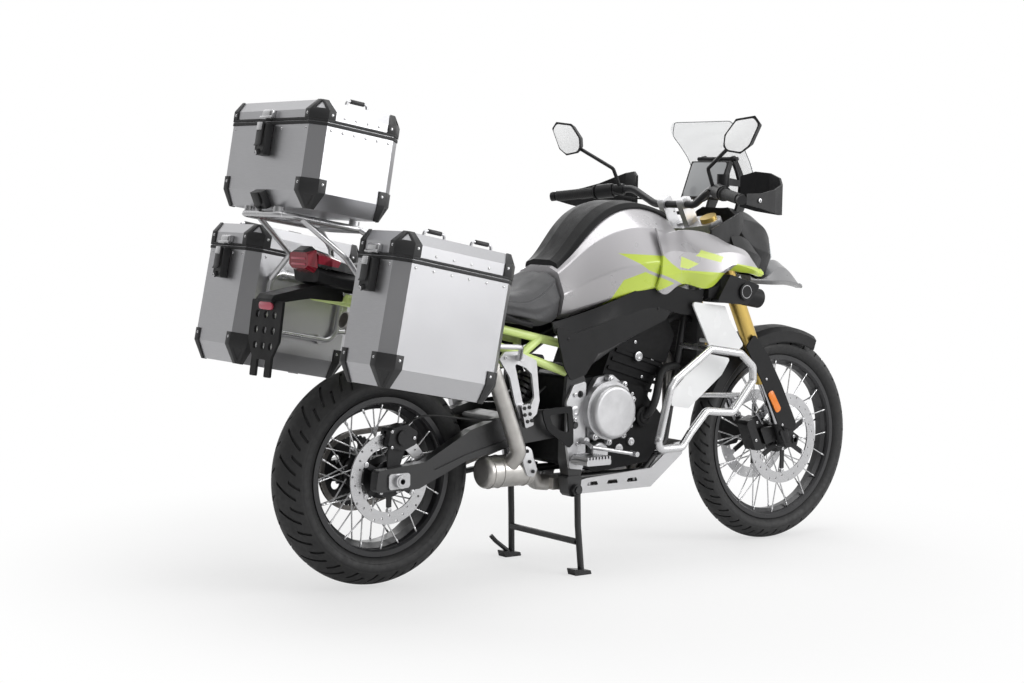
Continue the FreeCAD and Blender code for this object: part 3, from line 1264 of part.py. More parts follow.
def stand_lugs():
    """Frame lugs with their bolts for both stands."""
    pieces = []
    for side in (1, -1):
        pieces.append(plate([(606, 300), (664, 300), (658, 244), (646, 236), (626, 236), (616, 246)],
                            sorted((side * (CRADLE_Y - 8), side * (STAND_EYE_Y - 8))), 6))
        pieces.append(cross_rod(STAND_X, STAND_Z,
                                sorted((side * (STAND_EYE_Y - 9), side * (STAND_EYE_Y + 8))),
                                STAND_BOLT_R))
        pieces.append(cross_rod(STAND_X, STAND_Z,
                                sorted((side * (STAND_EYE_Y + 7.5), side * (STAND_EYE_Y + 13))), 12))
    pin = V(0, math.cos(math.radians(SIDE_STAND_TILT)), math.sin(math.radians(SIDE_STAND_TILT)))
    pieces.append(box((674, 706), (CRADLE_Y, 199), (290, 306)))
    pieces.append(rod(SIDE_STAND - pin * 24, SIDE_STAND - pin * 10.5, 17))
    pieces.append(rod(SIDE_STAND - pin * 12, SIDE_STAND + pin * 15, STAND_BOLT_R))
    pieces.append(rod(SIDE_STAND + pin * 10.5, SIDE_STAND + pin * 15, 13))
    return pieces


# ---------------------------------------------------------------- luggage
Case = namedtuple("Case", "x z tilt length inner outer depth bevel lid_height")
# x, z: rear end of the lid seam; inner, outer: its two sides in y; tilt: degrees nose down
RIGHT_CASE = Case(-260, 985, 10.5, 392, -292, -530, 340, 52, 70)
LEFT_CASE = Case(-260, 985, 10.5, 392, 248, 530, 340, 52, 70)
TOP_CASE = Case(-345, 1340, 9.0, 286, -242, 242, 234, 44, 60)
CASE_WALL = 3.0
CASE_CHAMFER = 36.0
END_CHAMFER = 6.0           # what is left of the corner chamfer at the floor and at the crown
BEVEL_SHARE = 0.62          # how far the floor is drawn in, as a share of the bevel's height
LID_GAP = 1.0
LID_SLOPE = 30.0
LID_INSET = 24.0
HINGE_R = 5.0
HINGE_REACH = 6.5           # hinge axis ahead of the case's front face
HINGE_PIN_R = 2.0


def place(shape, case):
    """Moves a shape drawn upright behind the case's seam corner to its tilted place."""
    placed = shape.copy()
    placed.rotate(V(0, 0, 0), Y_AXIS, case.tilt)
    placed.translate(V(case.x, 0, case.z))
    return placed


def case_point(case, x, y, z):
    tilt = math.radians(case.tilt)
    return V(case.x + x * math.cos(tilt) + z * math.sin(tilt), y,
             case.z - x * math.sin(tilt) + z * math.cos(tilt))


def eight_sided(case, inset, chamfer, z):
    """Outline of the case at height z, drawn in by inset all round."""
    low, high = sorted((case.inner, case.outer))
    x0, x1 = inset, case.length - inset
    y0, y1 = low + inset, high - inset
    c = chamfer
    points = [(x0 + c, y0), (x1 - c, y0), (x1, y0 + c), (x1, y1 - c), (x1 - c, y1), (x0 + c, y1),
              (x0, y1 - c), (x0, y0 + c)]
    corners = [V(x, y, z) for x, y in points]
    return Part.makePolygon(corners + corners[:1])


def case_block(case, inset, top, bottom):
    """Closed solid of the case: straight sides down to the bevel, then drawn in to its floor."""
    bevel = -case.depth + case.bevel
    floor_inset = inset + case.bevel * BEVEL_SHARE
    straight = Part.Face(eight_sided(case, inset, CASE_CHAMFER, top)).extrude(V(0, 0, bevel - top))
    foot = loft([eight_sided(case, inset, CASE_CHAMFER, bevel),
                 eight_sided(case, floor_inset, END_CHAMFER, bottom)], True)
    return fuse([straight, foot])


def case_body(case):
    """Open box with its hinge leaves on the front edge and a rolled rim."""
    outer = case_block(case, 0, 0, -case.depth)
    hollow = case_block(case, CASE_WALL, 5, -case.depth + CASE_WALL)
    x = case.length + HINGE_REACH
    middle = (case.inner + case.outer) / 2
    leaves = []
    for side in (-1, 1):
        y = sorted((middle + side * 26, middle + side * 62))
        leaves.append(box((case.length - 1, x), y, (-14, -1)))
        leaves.append(cross_rod(x, 0, y, HINGE_R))
    pin = cross_rod(x, 0, (middle - 60, middle + 60), HINGE_PIN_R)
    body = fuse([outer.cut(hollow)] + leaves + [pin])
    return place(body, case)


def lid_block(case, inset, low, top, top_inset):
    """Closed solid of a lid: straight sides, then drawn in to its crown."""
    knee = case.lid_height - LID_SLOPE
    straight = Part.Face(eight_sided(case, inset, CASE_CHAMFER, low)).extrude(V(0, 0, knee - low))
    crown = loft([eight_sided(case, inset, CASE_CHAMFER, knee),
                  eight_sided(case, top_inset, END_CHAMFER, top)], True)
    return fuse([straight, crown])


def lid_handle(case, x, y):
    """Low wire grip along the lid's edge."""
    top = case.lid_height
    return tube([V(x - 34, y, top - 1), V(x - 32, y, top + 14), V(x + 32, y, top + 14),
                 V(x + 34, y, top - 1)], 4, 8)


def case_lid(case):
    """Lid with a drawn-in crown, hollow below, with its hinge knuckle and two carrying handles."""
    top = case.lid_height
    outer = lid_block(case, 0, LID_GAP, top, LID_INSET)
    hollow = lid_block(case, CASE_WALL, -2, top - CASE_WALL, LID_INSET + 1)
    x = case.length + HINGE_REACH
    middle = (case.inner + case.outer) / 2
    knuckle = cross_rod(x, 0, (middle - 25, middle + 25), HINGE_R)
    leaf = box((case.length - 1, x), (middle - 25, middle + 25), (LID_GAP, 14))
    edge = LID_INSET + 16
    if case.inner * case.outer < 0:
        spots = [(case.length / 2, case.inner + edge), (case.length / 2, case.outer - edge)]
    else:
        outer_side = 1 if case.outer > 0 else -1
        spots = [(case.length * share, case.outer - outer_side * edge) for share in (0.3, 0.7)]
    handles = [lid_handle(case, hx, hy) for hx, hy in spots]
    pin_hole = cross_rod(x, 0, (middle - 70, middle + 70), HINGE_PIN_R + RUN_GAP)
    lid = fuse([outer.cut(hollow), knuckle, leaf] + handles).cut(pin_hole)
    return place(lid, case)


FRAME_TUBE_R = 8.0


def case_frame(case):
    """Tube loop inside a side case with four pucks that the case hangs on."""
    side = 1 if case.inner > 0 else -1
    y = case.inner - side * 16
    loop = closed_tube([case_point(case, x, y, z)
                        for x, z in ((70, -60), (320, -60), (320, -230), (70, -230))],
                       FRAME_TUBE_R, 40)
    pucks = []
    for x, z in ((120, -60), (270, -60), (120, -230), (270, -230)):
        at = case_point(case, x, 0, z)
        pucks.append(cross_rod(at.x, at.z, sorted((y, case.inner - side * SEAT_GAP)), 13))
    return [loop] + pucks


def luggage_frames(subframe):
    """Side frames, the loop that joins them behind the tail, and the rack under the top case."""
    pieces = case_frame(RIGHT_CASE) + case_frame(LEFT_CASE)
    rack_z = -TOP_CASE.depth - 22
    corners = [(12, -118), (292, -104), (292, 104), (12, 118)]
    ring = closed_tube([case_point(TOP_CASE, x, y, rack_z) for x, y in corners], 9, 40)
    deck = box((18, 284), (-104, 104), (rack_z - 2, rack_z + 4))
    slots = [box((40 + 62 * k, 74 + 62 * k), (-76, 76), (rack_z - 9, rack_z + 9)) for k in range(4)]
    deck = place(deck.cut(Part.makeCompound(slots)), TOP_CASE)
    cross = []
    for x in (20, 266):
        cross.append(rod(case_point(TOP_CASE, x, -108, rack_z), case_point(TOP_CASE, x, 108, rack_z), 7))
        for y in (-80, 80):
            foot = case_point(TOP_CASE, x, y, -TOP_CASE.depth - SEAT_GAP)
            cross.append(rod(case_point(TOP_CASE, x, y, rack_z), foot, 15))
    for side in (1, -1):
        case = LEFT_CASE if side > 0 else RIGHT_CASE
        frame_y = case.inner - side * 16
        rear_top = case_point(case, 70, frame_y, -80)
        front_low = case_point(case, 320, frame_y, -200)
        front_top = case_point(case, 290, frame_y, -60)
        ring_rear = case_point(TOP_CASE, 70, side * 114, rack_z)
        ring_front = case_point(TOP_CASE, 268, side * 104, rack_z)
        cross.append(tube([ring_rear, V(-190, side * 150, 968), rear_top], FRAME_TUBE_R, 20))
        cross.append(tube([ring_front, V(-40, side * 172, 982), front_top], FRAME_TUBE_R, 20))
        cross.append(rod(V(-120, side * 84, 844), V(-150, side * 150, 866), 8))
        cross.append(rod(V(-150, side * 150, 866), case_point(case, 76, frame_y, -140), 8))
        bolt_y = side * (BRACKET_Y + 8)
        cross.append(cross_rod(398, 672, sorted((bolt_y + side * SEAT_GAP, bolt_y + side * 22)), 10))
        cross.append(tube([V(396, bolt_y + side * 13, 671), V(330, frame_y, 712), front_low], 7.5, 20))
    return fuse(pieces + [ring, deck] + cross).cut(subframe)


def tail_light():
    return hull_body([
        (-252, (36, 934), (52, 944), (48, 974), (24, 984)),
        (-226 - SEAT_GAP, (42, 922), (62, 938), (56, 984), (30, 996)),
    ], 6)


PLATE_LEAN = 7.0            # degrees that the plate's bracket hangs back


def plate_holder(neighbours):
    """Arm below the tail that carries the blank plate's bracket and its reflector."""
    root = -130 - SEAT_GAP
    arm = plate([(root, 838), (root, 872), (-214, 888), (-352, 862), (-366, 846), (-352, 838), (-236, 850)],
                (-42, 42), 6)
    half = [(84, 0), (84, -112), (54, -158), (54, -214), (24, -214), (24, -166)]
    ring = [V(0, y, z) for y, z in half] + [V(0, -y, z) for y, z in reversed(half)]
    hanger = Part.Face(outline([(point, 5) for point in ring])).extrude(V(8, 0, 0))
    holes = []
    for y, z in ((0, -40), (46, -40), (0, -84), (46, -84), (0, -128), (42, -128)):
        for side in (1, -1):
            holes.append(rod(V(-20, side * y, z), V(20, side * y, z), 11))
    hanger = hanger.cut(Part.makeCompound(holes))
    hanger.rotate(V(0, 0, 0), Y_AXIS, PLATE_LEAN)
    hanger.translate(V(-350, 0, 846))
    holder = fuse([arm, hanger])
    for neighbour in neighbours:
        holder = holder.cut(neighbour)
    return max(holder.Solids, key=lambda s: s.Volume)


def build():
    """Every node of the machine by name."""
    frame = main_frame()
    subframe = rear_subframe()
    big_tank = hull_body(grown(TANK_ROWS, SEAT_GAP), TANK_CORNER)
    tail = tail_unit()
    wings = fairing_wings(big_tank)
    nose, screen, lamp = nose_fairing(wings), windscreen(), headlamp()
    pods = controls()
    front_star = disc_carrier(FRONT, FRONT_DISC_R, FRONT_DISC_Y, FRONT.hub_half)
    rear_star = disc_carrier(REAR, REAR_DISC_R, -REAR_DISC_Y, -REAR.hub_half)
    parts = {
        "main_frame": [frame, pivot_bolt()], "rear_subframe": subframe,
        "footrest_brackets": pivot_plates() + peg_brackets(), "foot_pegs": foot_pegs() + pedals(),
        "swingarm": swingarm(), "rear_axle": rear_axle(), "rear_caliper": rear_caliper(), "chain": chain(),
        "shock_absorber": shock_absorber(), "engine": engine(),
        "engine_covers": [clutch_cover(), alternator_cover(), oil_filter()],
        "exhaust_pipes": exhaust_pipes(), "muffler": muffler(), "radiator": radiator(),
        "radiator_shrouds": radiator_shrouds(),
        "crash_bars": crash_bars(frame),
        "skid_plate": skid_plate(), "fuel_tank": fuel_tank(), "tank_cover": tank_cover(big_tank),
        "rider_seat": rider_seat(), "passenger_seat": passenger_seat(), "tail_unit": tail,
        "side_panels": side_panels(big_tank) + heel_guards(), "fairing_wings": wings,
        "lamp_covers": lamp_covers(frame),
        "nose_fairing": nose, "headlamp": lamp, "beak": beak([nose, lamp]), "windscreen": screen,
        "instrument": instrument([nose, screen]), "luggage_frames": luggage_frames(subframe),
        "tail_light": tail_light(),
        "plate_holder": plate_holder([tail]), "right_pannier": case_body(RIGHT_CASE),
        "left_pannier": case_body(LEFT_CASE), "top_case": case_body(TOP_CASE),
        "right_pannier_lid": case_lid(RIGHT_CASE), "left_pannier_lid": case_lid(LEFT_CASE),
        "top_case_lid": case_lid(TOP_CASE), "centre_stand": centre_stand(), "side_stand": side_stand(),
        "fork_outers": fork_outers(), "fork_stanchions": fork_lowers(), "fork_feet": fork_feet(),
        "front_calipers": front_calipers(), "yokes": [yokes()] + bar_clamps(), "handlebar": handlebar(),
        "grips": grips(), "controls": pods, "mirrors": mirrors(pods), "handguards": handguards(),
        "front_mudguard": [front_mudguard()] + fork_guards(),
        "front_tyre": tyre(FRONT), "front_rim": rim(FRONT),
        "front_hub": [hub(FRONT, both_sides(front_star))] + spokes(FRONT),
        "front_discs": both_sides(brake_disc(FRONT, FRONT_DISC_R, FRONT_DISC_Y)),
        "rear_tyre": tyre(REAR), "rear_rim": rim(REAR),
        "rear_hub": [hub(REAR, [rear_star]), sprocket()] + spokes(REAR),
        "rear_disc": brake_disc(REAR, REAR_DISC_R, -REAR_DISC_Y),
    }
    return parts


def main():
    os.makedirs("parts", exist_ok=True)
    for name, shapes in build().items():
        shapes = shapes if isinstance(shapes, list) else [shapes]
        whole = shapes[0] if len(shapes) == 1 else Part.makeCompound(shapes)
        whole = whole.copy()
        whole.translate(V(-ORIGIN_AHEAD, 0, 0))
        whole.exportStep(os.path.join("parts", name + ".step"))
        print(name, len(whole.Solids), round(whole.Volume / 1000), whole.isValid())


main()
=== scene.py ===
"""Adventure motorcycle with three luggage cases: finishes, soft seats and small fittings.

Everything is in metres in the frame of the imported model: +X forward, +Y to the rider's left,
+Z up, with the origin on the floor under the middle of the machine.
"""

import json
from cmath import phase, rect
from math import atan2, copysign, cos, degrees, exp, hypot, pi, radians, sin
from types import SimpleNamespace as Sizes

import bpy
from mathutils import Matrix, Vector
from mathutils.bvhtree import BVHTree
from mathutils.kdtree import KDTree


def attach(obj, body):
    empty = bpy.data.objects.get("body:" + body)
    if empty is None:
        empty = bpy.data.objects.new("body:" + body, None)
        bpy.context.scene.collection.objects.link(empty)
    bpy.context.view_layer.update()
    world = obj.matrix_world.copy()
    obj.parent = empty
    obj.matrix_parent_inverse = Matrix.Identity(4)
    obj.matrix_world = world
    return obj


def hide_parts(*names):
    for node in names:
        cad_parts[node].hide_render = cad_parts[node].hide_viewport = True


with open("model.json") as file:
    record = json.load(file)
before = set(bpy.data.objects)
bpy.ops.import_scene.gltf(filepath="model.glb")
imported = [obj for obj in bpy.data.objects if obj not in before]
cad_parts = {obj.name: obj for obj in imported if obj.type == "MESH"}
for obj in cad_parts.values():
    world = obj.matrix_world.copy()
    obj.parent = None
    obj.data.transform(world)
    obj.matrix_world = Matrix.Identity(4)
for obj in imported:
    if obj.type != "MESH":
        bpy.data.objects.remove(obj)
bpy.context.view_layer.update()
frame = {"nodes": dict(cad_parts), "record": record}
NODES = frame["nodes"]

AXLE_BACK = -0.78615            # rear axle's place along X


def given(target, **settings):
    """The target with the settings put on it."""
    for key, value in settings.items():
        setattr(target, key, value)
    return target


# ---- shader graphs
class Wire:
    """One output of a shader graph; arithmetic on it adds Math nodes."""

    def __init__(self, graph, socket):
        self.graph, self.socket = graph, socket

    def __rsub__(self, other):
        return self.graph.maths("SUBTRACT", other, self)


def arithmetic(operation):
    return lambda wire, *other: wire.graph.maths(operation, wire, *other)


for symbol, operation in (("add", "ADD"), ("sub", "SUBTRACT"), ("mul", "MULTIPLY"), ("abs", "ABSOLUTE"),
                          ("gt", "GREATER_THAN"), ("lt", "LESS_THAN"), ("pow", "POWER")):
    setattr(Wire, "__%s__" % symbol, arithmetic(operation))


class Graph:
    """Nodes of a material or of the world, each made with its settings and what feeds its sockets."""

    def __init__(self, tree):
        self.tree = tree

    def node(self, kind, settings, sockets, output=0):
        made = given(self.tree.nodes.new(kind), **settings)
        for key, value in sockets.items():
            if isinstance(value, Wire):
                self.tree.links.new(value.socket, made.inputs[key])
            else:
                made.inputs[key].default_value = value
        return Wire(self, made.outputs[output])

    def maths(self, operation, *values):
        return self.node("ShaderNodeMath", {"operation": operation}, dict(enumerate(values)))

    def dot(self, place, direction):
        settings = {"operation": "DOT_PRODUCT"}
        return self.node("ShaderNodeVectorMath", settings, {0: place, 1: direction}, "Value")

    def mix(self, factor, first, second):
        return self.node("ShaderNodeMix", {"data_type": "FLOAT"}, {0: factor, 2: first, 3: second})

    def spread(self, value, low, high, to_low=0.0, to_high=1.0, ease="LINEAR"):
        settings = {"interpolation_type": ease}
        return self.node("ShaderNodeMapRange", settings, {0: value, 1: low, 2: high, 3: to_low, 4: to_high})

    def ray(self, kind):
        return self.node("ShaderNodeLightPath", {}, {}, "Is %s Ray" % kind)


class Finish(Graph):
    """A material whose colour, roughness and relief vary over the surface."""

    def __init__(self, name, colour, roughness, metallic=0.0, **constants):
        self.material = bpy.data.materials.new(name)
        self.material.use_nodes = True
        super().__init__(self.material.node_tree)
        self.shader = self.tree.nodes["Principled BSDF"]
        self.colour, self.roughness = colour, roughness
        inputs = {"Base Color": (*colour, 1.0), "Roughness": roughness, "Metallic": metallic, **constants}
        for key, value in inputs.items():
            self.shader.inputs[key.replace("_", " ")].default_value = value
        self.place = self.node("ShaderNodeTexCoord", {}, {}, "Object")

    def axes(self):
        split = self.node("ShaderNodeSeparateXYZ", {}, {0: self.place})
        return [Wire(self, socket) for socket in split.socket.node.outputs]

    def noise(self, scale, detail=2.0, rough=0.5, place=None):
        sockets = {"Vector": place or self.place, "Scale": scale, "Detail": detail, "Roughness": rough}
        return self.node("ShaderNodeTexNoise", {}, sockets)

    def cells(self, scale):
        return self.node("ShaderNodeTexVoronoi", {"feature": "F1"}, {"Vector": self.place, "Scale": scale})

    def ribs(self, axis, rate, sharpness):
        """Even waves across one axis, from 0 in the grooves to 1 on the ribs."""
        return self.spread(self.maths("SINE", self.axes()[axis] * rate), -sharpness, sharpness)

    def blend(self, factor, first, second):
        colours = [c if isinstance(c, Wire) else (*c, 1.0) for c in (first, second)]
        return self.node("ShaderNodeMix", {"data_type": "RGBA"}, {0: factor, 6: colours[0], 7: colours[1]}, 2)

    def set(self, socket, wire):
        self.tree.links.new(wire.socket, self.shader.inputs[socket])

    def between(self, factor, *colours):
        """The finish's colour, blended between two."""
        self.set("Base Color", self.blend(factor, *colours))

    def drift(self, amount, scale=9.0):
        """Lets the colour drift a little lighter and darker over the piece."""
        factor = self.spread(self.noise(scale, 3.0), 0.3, 0.7)
        self.between(factor, *[[c * k for c in self.colour] for k in (1 - amount, 1 + amount)])

    def wander(self, scale, detail, below, above, band=(0.3, 0.7)):
        """Roughness that wanders from a little below its middle value to a little above it."""
        rough = self.spread(self.noise(scale, detail), *band, self.roughness - below, self.roughness + above)
        self.set("Roughness", rough)
        return self

    def relief(self, height, depth):
        """Last step of a finish: its bumps. Gives the finished material."""
        bump = self.node("ShaderNodeBump", {}, {"Height": height, "Distance": depth, "Strength": 1.0})
        self.set("Normal", bump)
        return self.material


# ---- finishes
def cast_metal(name, colour, roughness=0.48, metallic=0.85, grain=0.00012, gleam=0.5):
    finish = Finish(name, colour, roughness, metallic, Specular_IOR_Level=gleam)
    finish.drift(0.1, 24.0)
    finish.wander(60, 4.0, 0.1, 0.12, (0.25, 0.75))
    return finish.relief(finish.noise(1400, 3.0, 0.6), grain)


def painted(name, colour, roughness=0.38, coat=0.15, metallic=0.0):
    finish = Finish(name, colour, roughness, metallic, Coat_Weight=coat, Coat_Roughness=0.2)
    finish.drift(0.06)
    finish.wander(35, 4.0, 0.07, 0.08)
    return finish.relief(finish.noise(900, 2.0), 0.00003)


def brushed_metal(name, colour, roughness, lay=(6, 260, 260), metallic=0.95, scuffs=0.1):
    """Sheet or tube whose fine lines run along one axis."""
    finish = Finish(name, colour, roughness, metallic)
    stretched = finish.node("ShaderNodeMapping", {}, {"Vector": finish.place, "Scale": lay})
    lines = finish.noise(5.0, 3.0, 0.65, stretched)
    darker, lighter = [c * 0.93 for c in colour], [min(1.0, c * 1.05) for c in colour]
    finish.between(finish.spread(lines, 0.3, 0.7), darker, lighter)
    wear = finish.spread(finish.noise(7.0, 4.0), 0.3, 0.7, roughness - scuffs, roughness + scuffs)
    finish.set("Roughness", wear + (lines - 0.5) * 0.12)
    return finish.relief(lines, 0.00004)


def moulded(name, colour, roughness=0.55, grain=0.00008, size=1500.0, gleam=0.35):
    """Plastic from a grained mould."""
    finish = Finish(name, colour, roughness, Specular_IOR_Level=gleam)
    finish.drift(0.08)
    finish.wander(30, 3.0, 0.06, 0.08)
    return finish.relief(finish.cells(size) + finish.noise(400, 2.0) * 0.5, grain)


def glossy(name, colour, roughness=0.08, coat=0.6, metallic=0.0, **constants):
    """Smooth lacquer, lens or display glass."""
    finish = Finish(name, colour, roughness, metallic, Coat_Weight=coat, Coat_Roughness=0.04, **constants)
    finish.drift(0.04, 6.0)
    return finish.wander(20, 2.0, roughness * 0.2, roughness * 0.5).material


def rubber(name, colour=(0.01, 0.01, 0.0105), roughness=0.66):
    finish = Finish(name, colour, roughness)
    dust = finish.spread(finish.noise(16, 5.0, 0.6), 0.42, 0.75)
    finish.between(dust * 0.5, colour, [c * 2.1 for c in colour])
    finish.wander(90, 3.0, 0.08, 0.1)
    return finish.relief(finish.noise(1100, 3.0), 0.00008)


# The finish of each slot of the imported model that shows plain.
FINISHES = {
    "frame_paint": painted("frame_black", (0.012, 0.012, 0.013)),
    "subframe_paint": painted("subframe_lime", (0.62, 0.76, 0.26), 0.35),
    "cast_silver": cast_metal("cast_silver", (0.52, 0.52, 0.53), 0.42),
    "swingarm_paint": painted("swingarm_black", (0.014, 0.014, 0.015), 0.42),
    "steel": brushed_metal("plated_steel", (0.5, 0.5, 0.51), 0.32),
    "caliper_black": cast_metal("caliper_black", (0.018, 0.018, 0.019), 0.35, 0.5),
    "chain_steel": brushed_metal("chain_steel", (0.2, 0.19, 0.18), 0.38),
    "spring_black": painted("spring_black", (0.02, 0.02, 0.022), 0.3),
    "engine_black": cast_metal("engine_black", (0.007, 0.007, 0.0075), 0.52, 0.05, 0.0001, 0.14),
    "exhaust_steel": cast_metal("exhaust_steel", (0.5, 0.485, 0.465), 0.36, 0.9),
    "shroud_white": glossy("shroud_white", (0.86, 0.865, 0.87), 0.2, 0.4),
    "stainless": brushed_metal("stainless_tube", (0.66, 0.66, 0.67), 0.24),
    "skid_aluminium": brushed_metal("skid_aluminium", (0.5, 0.5, 0.51), 0.38),
    "dark_plastic": moulded("dark_plastic", (0.0115, 0.0115, 0.0122), 0.46, gleam=0.2),
    "seat_cover": moulded("seat_vinyl", (0.06, 0.06, 0.062), 0.62, 0.00012, 900),
    "lamp_glass": glossy("lamp_lens", (0.5, 0.54, 0.57), 0.06),
    "screen": glossy("clear_screen", (0.76, 0.81, 0.84), 0.04, 0.8, Alpha=0.17),
    "rack_silver": brushed_metal("rack_tube", (0.6, 0.6, 0.61), 0.3),
    "case_aluminium": brushed_metal("case_sheet", (0.52, 0.52, 0.535), 0.33, (240, 6, 240), scuffs=0.03),
    "stand_black": painted("stand_black", (0.014, 0.014, 0.015), 0.42),
    "fork_gold": brushed_metal("fork_gold", (0.66, 0.47, 0.14), 0.3, (120, 120, 6), scuffs=0.03),
    "chrome": glossy("hard_chrome", (0.62, 0.62, 0.64), 0.06, 0.0, 1.0),
    "yoke_silver": cast_metal("yoke_silver", (0.6, 0.6, 0.61), 0.38, 0.8, 0.00002),
    "bar_black": painted("bar_black", (0.016, 0.016, 0.018), 0.4),
    "control_black": moulded("control_black", (0.012, 0.012, 0.013), 0.45),
    "mirror_housing": moulded("mirror_housing", (0.012, 0.012, 0.013), 0.4),
    "tyre": rubber("tyre_rubber"),
    "rim_black": painted("rim_black", (0.016, 0.016, 0.018), 0.34),
    "disc_steel": brushed_metal("disc_steel", (0.52, 0.52, 0.53), 0.26),
}
PAINTED_MIRROR_GLOW = 0.26            # how brightly the mirror glass glows: a painted reflection of the bright sky

# Finishes of the small pieces added here, each with the slot that it goes by.
LOOKS = {
    "corner_black": (moulded("corner_black", (0.028, 0.028, 0.029), 0.42, 0.00006, 1300), "control_black"),
    "seal_rubber": (rubber("seal_rubber", (0.014, 0.014, 0.015), 0.6), "grip_rubber"),
    "bright_steel": (brushed_metal("bright_steel", (0.58, 0.58, 0.59), 0.25), "steel"),
    "seat_thread": (moulded("seat_thread", (0.16, 0.16, 0.165), 0.7, 0.00004, 2600), "seat_cover"),
    # mirror glass: pale base colour plus a glow, a painted reflection of the sky, though the glass is no lamp
    "mirror_glass": (
        glossy("mirror_glass", (0.93, 0.935, 0.94), 0.08, 0.3, 0.08, Emission_Strength=PAINTED_MIRROR_GLOW),
        "chrome"),
    "display_glass": (glossy("display_glass", (0.4, 0.41, 0.42), 0.07, 0.8), "display"),
    "amber_lens": (glossy("amber_lens", (0.8, 0.21, 0.012), 0.16, 0.4), "lamp_glass"),
    "red_reflector": (glossy("red_reflector", (0.55, 0.085, 0.13), 0.15, 0.5), "red_lens"),
    "hose_rubber": (rubber("hose_rubber", (0.0055, 0.0055, 0.006), 0.62), "grip_rubber"),
    "screen_edge": (glossy("screen_edge_tint", (0.1, 0.11, 0.12), 0.15, 0.4), "screen"),
}
ROOM_LEVEL = 0.5               # what the room gives matt surfaces
GLOSS_DARK = 0.14               # the room's darker end in metal and lacquer
GLOSS_BRIGHT = 0.95
BRIGHT_END = (0.95, 0.12, 0.28) # where the room's brighter end lies
FLOOR_LIFT = 0.62
YAW, PITCH, ROLL = 0.64857, 0.07517, 0.01812
EYE = (AXLE_BACK - 3.03415, -4.66954, 1.14489)
FOCAL_LENGTH = 67.66


# ---- stage
def placed(name, data, matrix=None):
    """A new object that holds the data, in the scene."""
    holder = bpy.data.objects.new(name, data)
    bpy.context.scene.collection.objects.link(holder)
    if matrix:
        holder.matrix_world = matrix
    return holder


def lamp(name, place, height, size, power):
    """Plain rectangular lamp that looks at a height above the origin."""
    light = bpy.data.lights.new(name, "AREA")
    given(light, shape="RECTANGLE", size=size[0], size_y=size[1], energy=power)
    aim = Vector((0, 0, height)) - Vector(place)
    placed(name, light, Matrix.Translation(place) @ aim.to_track_quat("-Z", "Y").to_matrix().to_4x4())


def room():
    """White room: brighter towards one end where it shows in metal and lacquer, plain white behind."""
    world = bpy.data.worlds.new("room")
    bpy.context.scene.world = world
    world.use_nodes = True
    graph = Graph(world.node_tree)
    aim = graph.node("ShaderNodeTexCoord", {}, {}, "Generated")
    lean = graph.dot(aim, Vector(BRIGHT_END).normalized())
    mirrored = graph.spread(lean, -0.85, 0.05, GLOSS_DARK, GLOSS_BRIGHT)
    level = graph.mix(graph.ray("Glossy"), ROOM_LEVEL, mirrored)
    seen = graph.maths("MAXIMUM", graph.ray("Camera"), graph.ray("Transmission"))
    background = world.node_tree.nodes["Background"]
    background.inputs["Color"].default_value = (1.0, 1.0, 1.0, 1.0)
    world.node_tree.links.new(graph.mix(seen, level, 1.0).socket, background.inputs["Strength"])
    lamp("key", (3.2, -5.0, 2.8), 0.6, (4.5, 3.0), 190)
    lamp("top", (0.0, 0.0, 5.2), 0.5, (5.0, 3.0), 110)
    lamp("far", (2.0, 4.5, 3.0), 0.7, (3.0, 2.5), 40)


def ground():
    """Pale floor that keeps the shadow near the machine and fades into the white further out."""
    bpy.ops.mesh.primitive_plane_add(size=60.0)
    floor = bpy.context.object
    floor.name = "floor"
    paint = Finish("floor_paint", (0.86, 0.86, 0.86), 0.9, Specular_IOR_Level=0.0)
    away = paint.node("ShaderNodeVectorMath", {"operation": "LENGTH"}, {0: paint.place}, "Value")
    share = paint.spread(away, 1.0, 2.0, FLOOR_LIFT, 1.0, "SMOOTHSTEP") * paint.ray("Camera")
    glow = paint.node("ShaderNodeEmission", {}, {"Color": (1, 1, 1, 1), "Strength": 1.0})
    look = paint.node("ShaderNodeMixShader", {}, {0: share, 1: Wire(paint, paint.shader.outputs[0]), 2: glow})
    paint.tree.links.new(look.socket, paint.tree.nodes["Material Output"].inputs["Surface"])
    floor.data.materials.append(paint.material)


def camera():
    """Stands where the machine is seen from its right and behind, a little rolled."""
    flat = cos(PITCH)
    ahead = Vector((sin(YAW) * flat, cos(YAW) * flat, -sin(PITCH)))
    level = ahead.cross(Vector((0, 0, 1))).normalized()
    upright = level.cross(ahead)
    right = level * cos(ROLL) + upright * sin(ROLL)
    up = upright * cos(ROLL) - level * sin(ROLL)
    lens = given(bpy.data.cameras.new("camera"), lens=FOCAL_LENGTH, sensor_width=36.0)
    turn = Matrix((right, up, -ahead)).transposed().to_4x4()
    bpy.context.scene.camera = placed("camera", lens, Matrix.Translation(EYE) @ turn)


# ---- workbench
SQUARE_ON = 0.9                 # least cosine between an axis and a face that looks along it
ALL = ("select_all", {"action": "SELECT"})
NONE = ("select_all", {"action": "DESELECT"})
OUTWARD = ("normals_make_consistent", {"inside": False})
FILLED = (("select_non_manifold", {}), ("fill", {}))


def inset(thickness, depth=0.0, **settings):
    return "inset", {"thickness": thickness, "depth": depth, **settings}


def pulled(x, y, z):
    return "extrude_region_move", {"TRANSFORM_OT_translate": {"value": (x, y, z)}}


def merged(distance):
    return "remove_doubles", {"threshold": distance}


def looking(x, y, z, extra=lambda face: True):
    """Chooses the faces that look along an axis."""
    return lambda face: face.normal.dot(Vector((x, y, z))) > SQUARE_ON and extra(face)


def pick(*pieces):
    bpy.ops.object.select_all(action="DESELECT")
    for piece in pieces:
        piece.select_set(True)
    bpy.context.view_layer.objects.active = pieces[0]


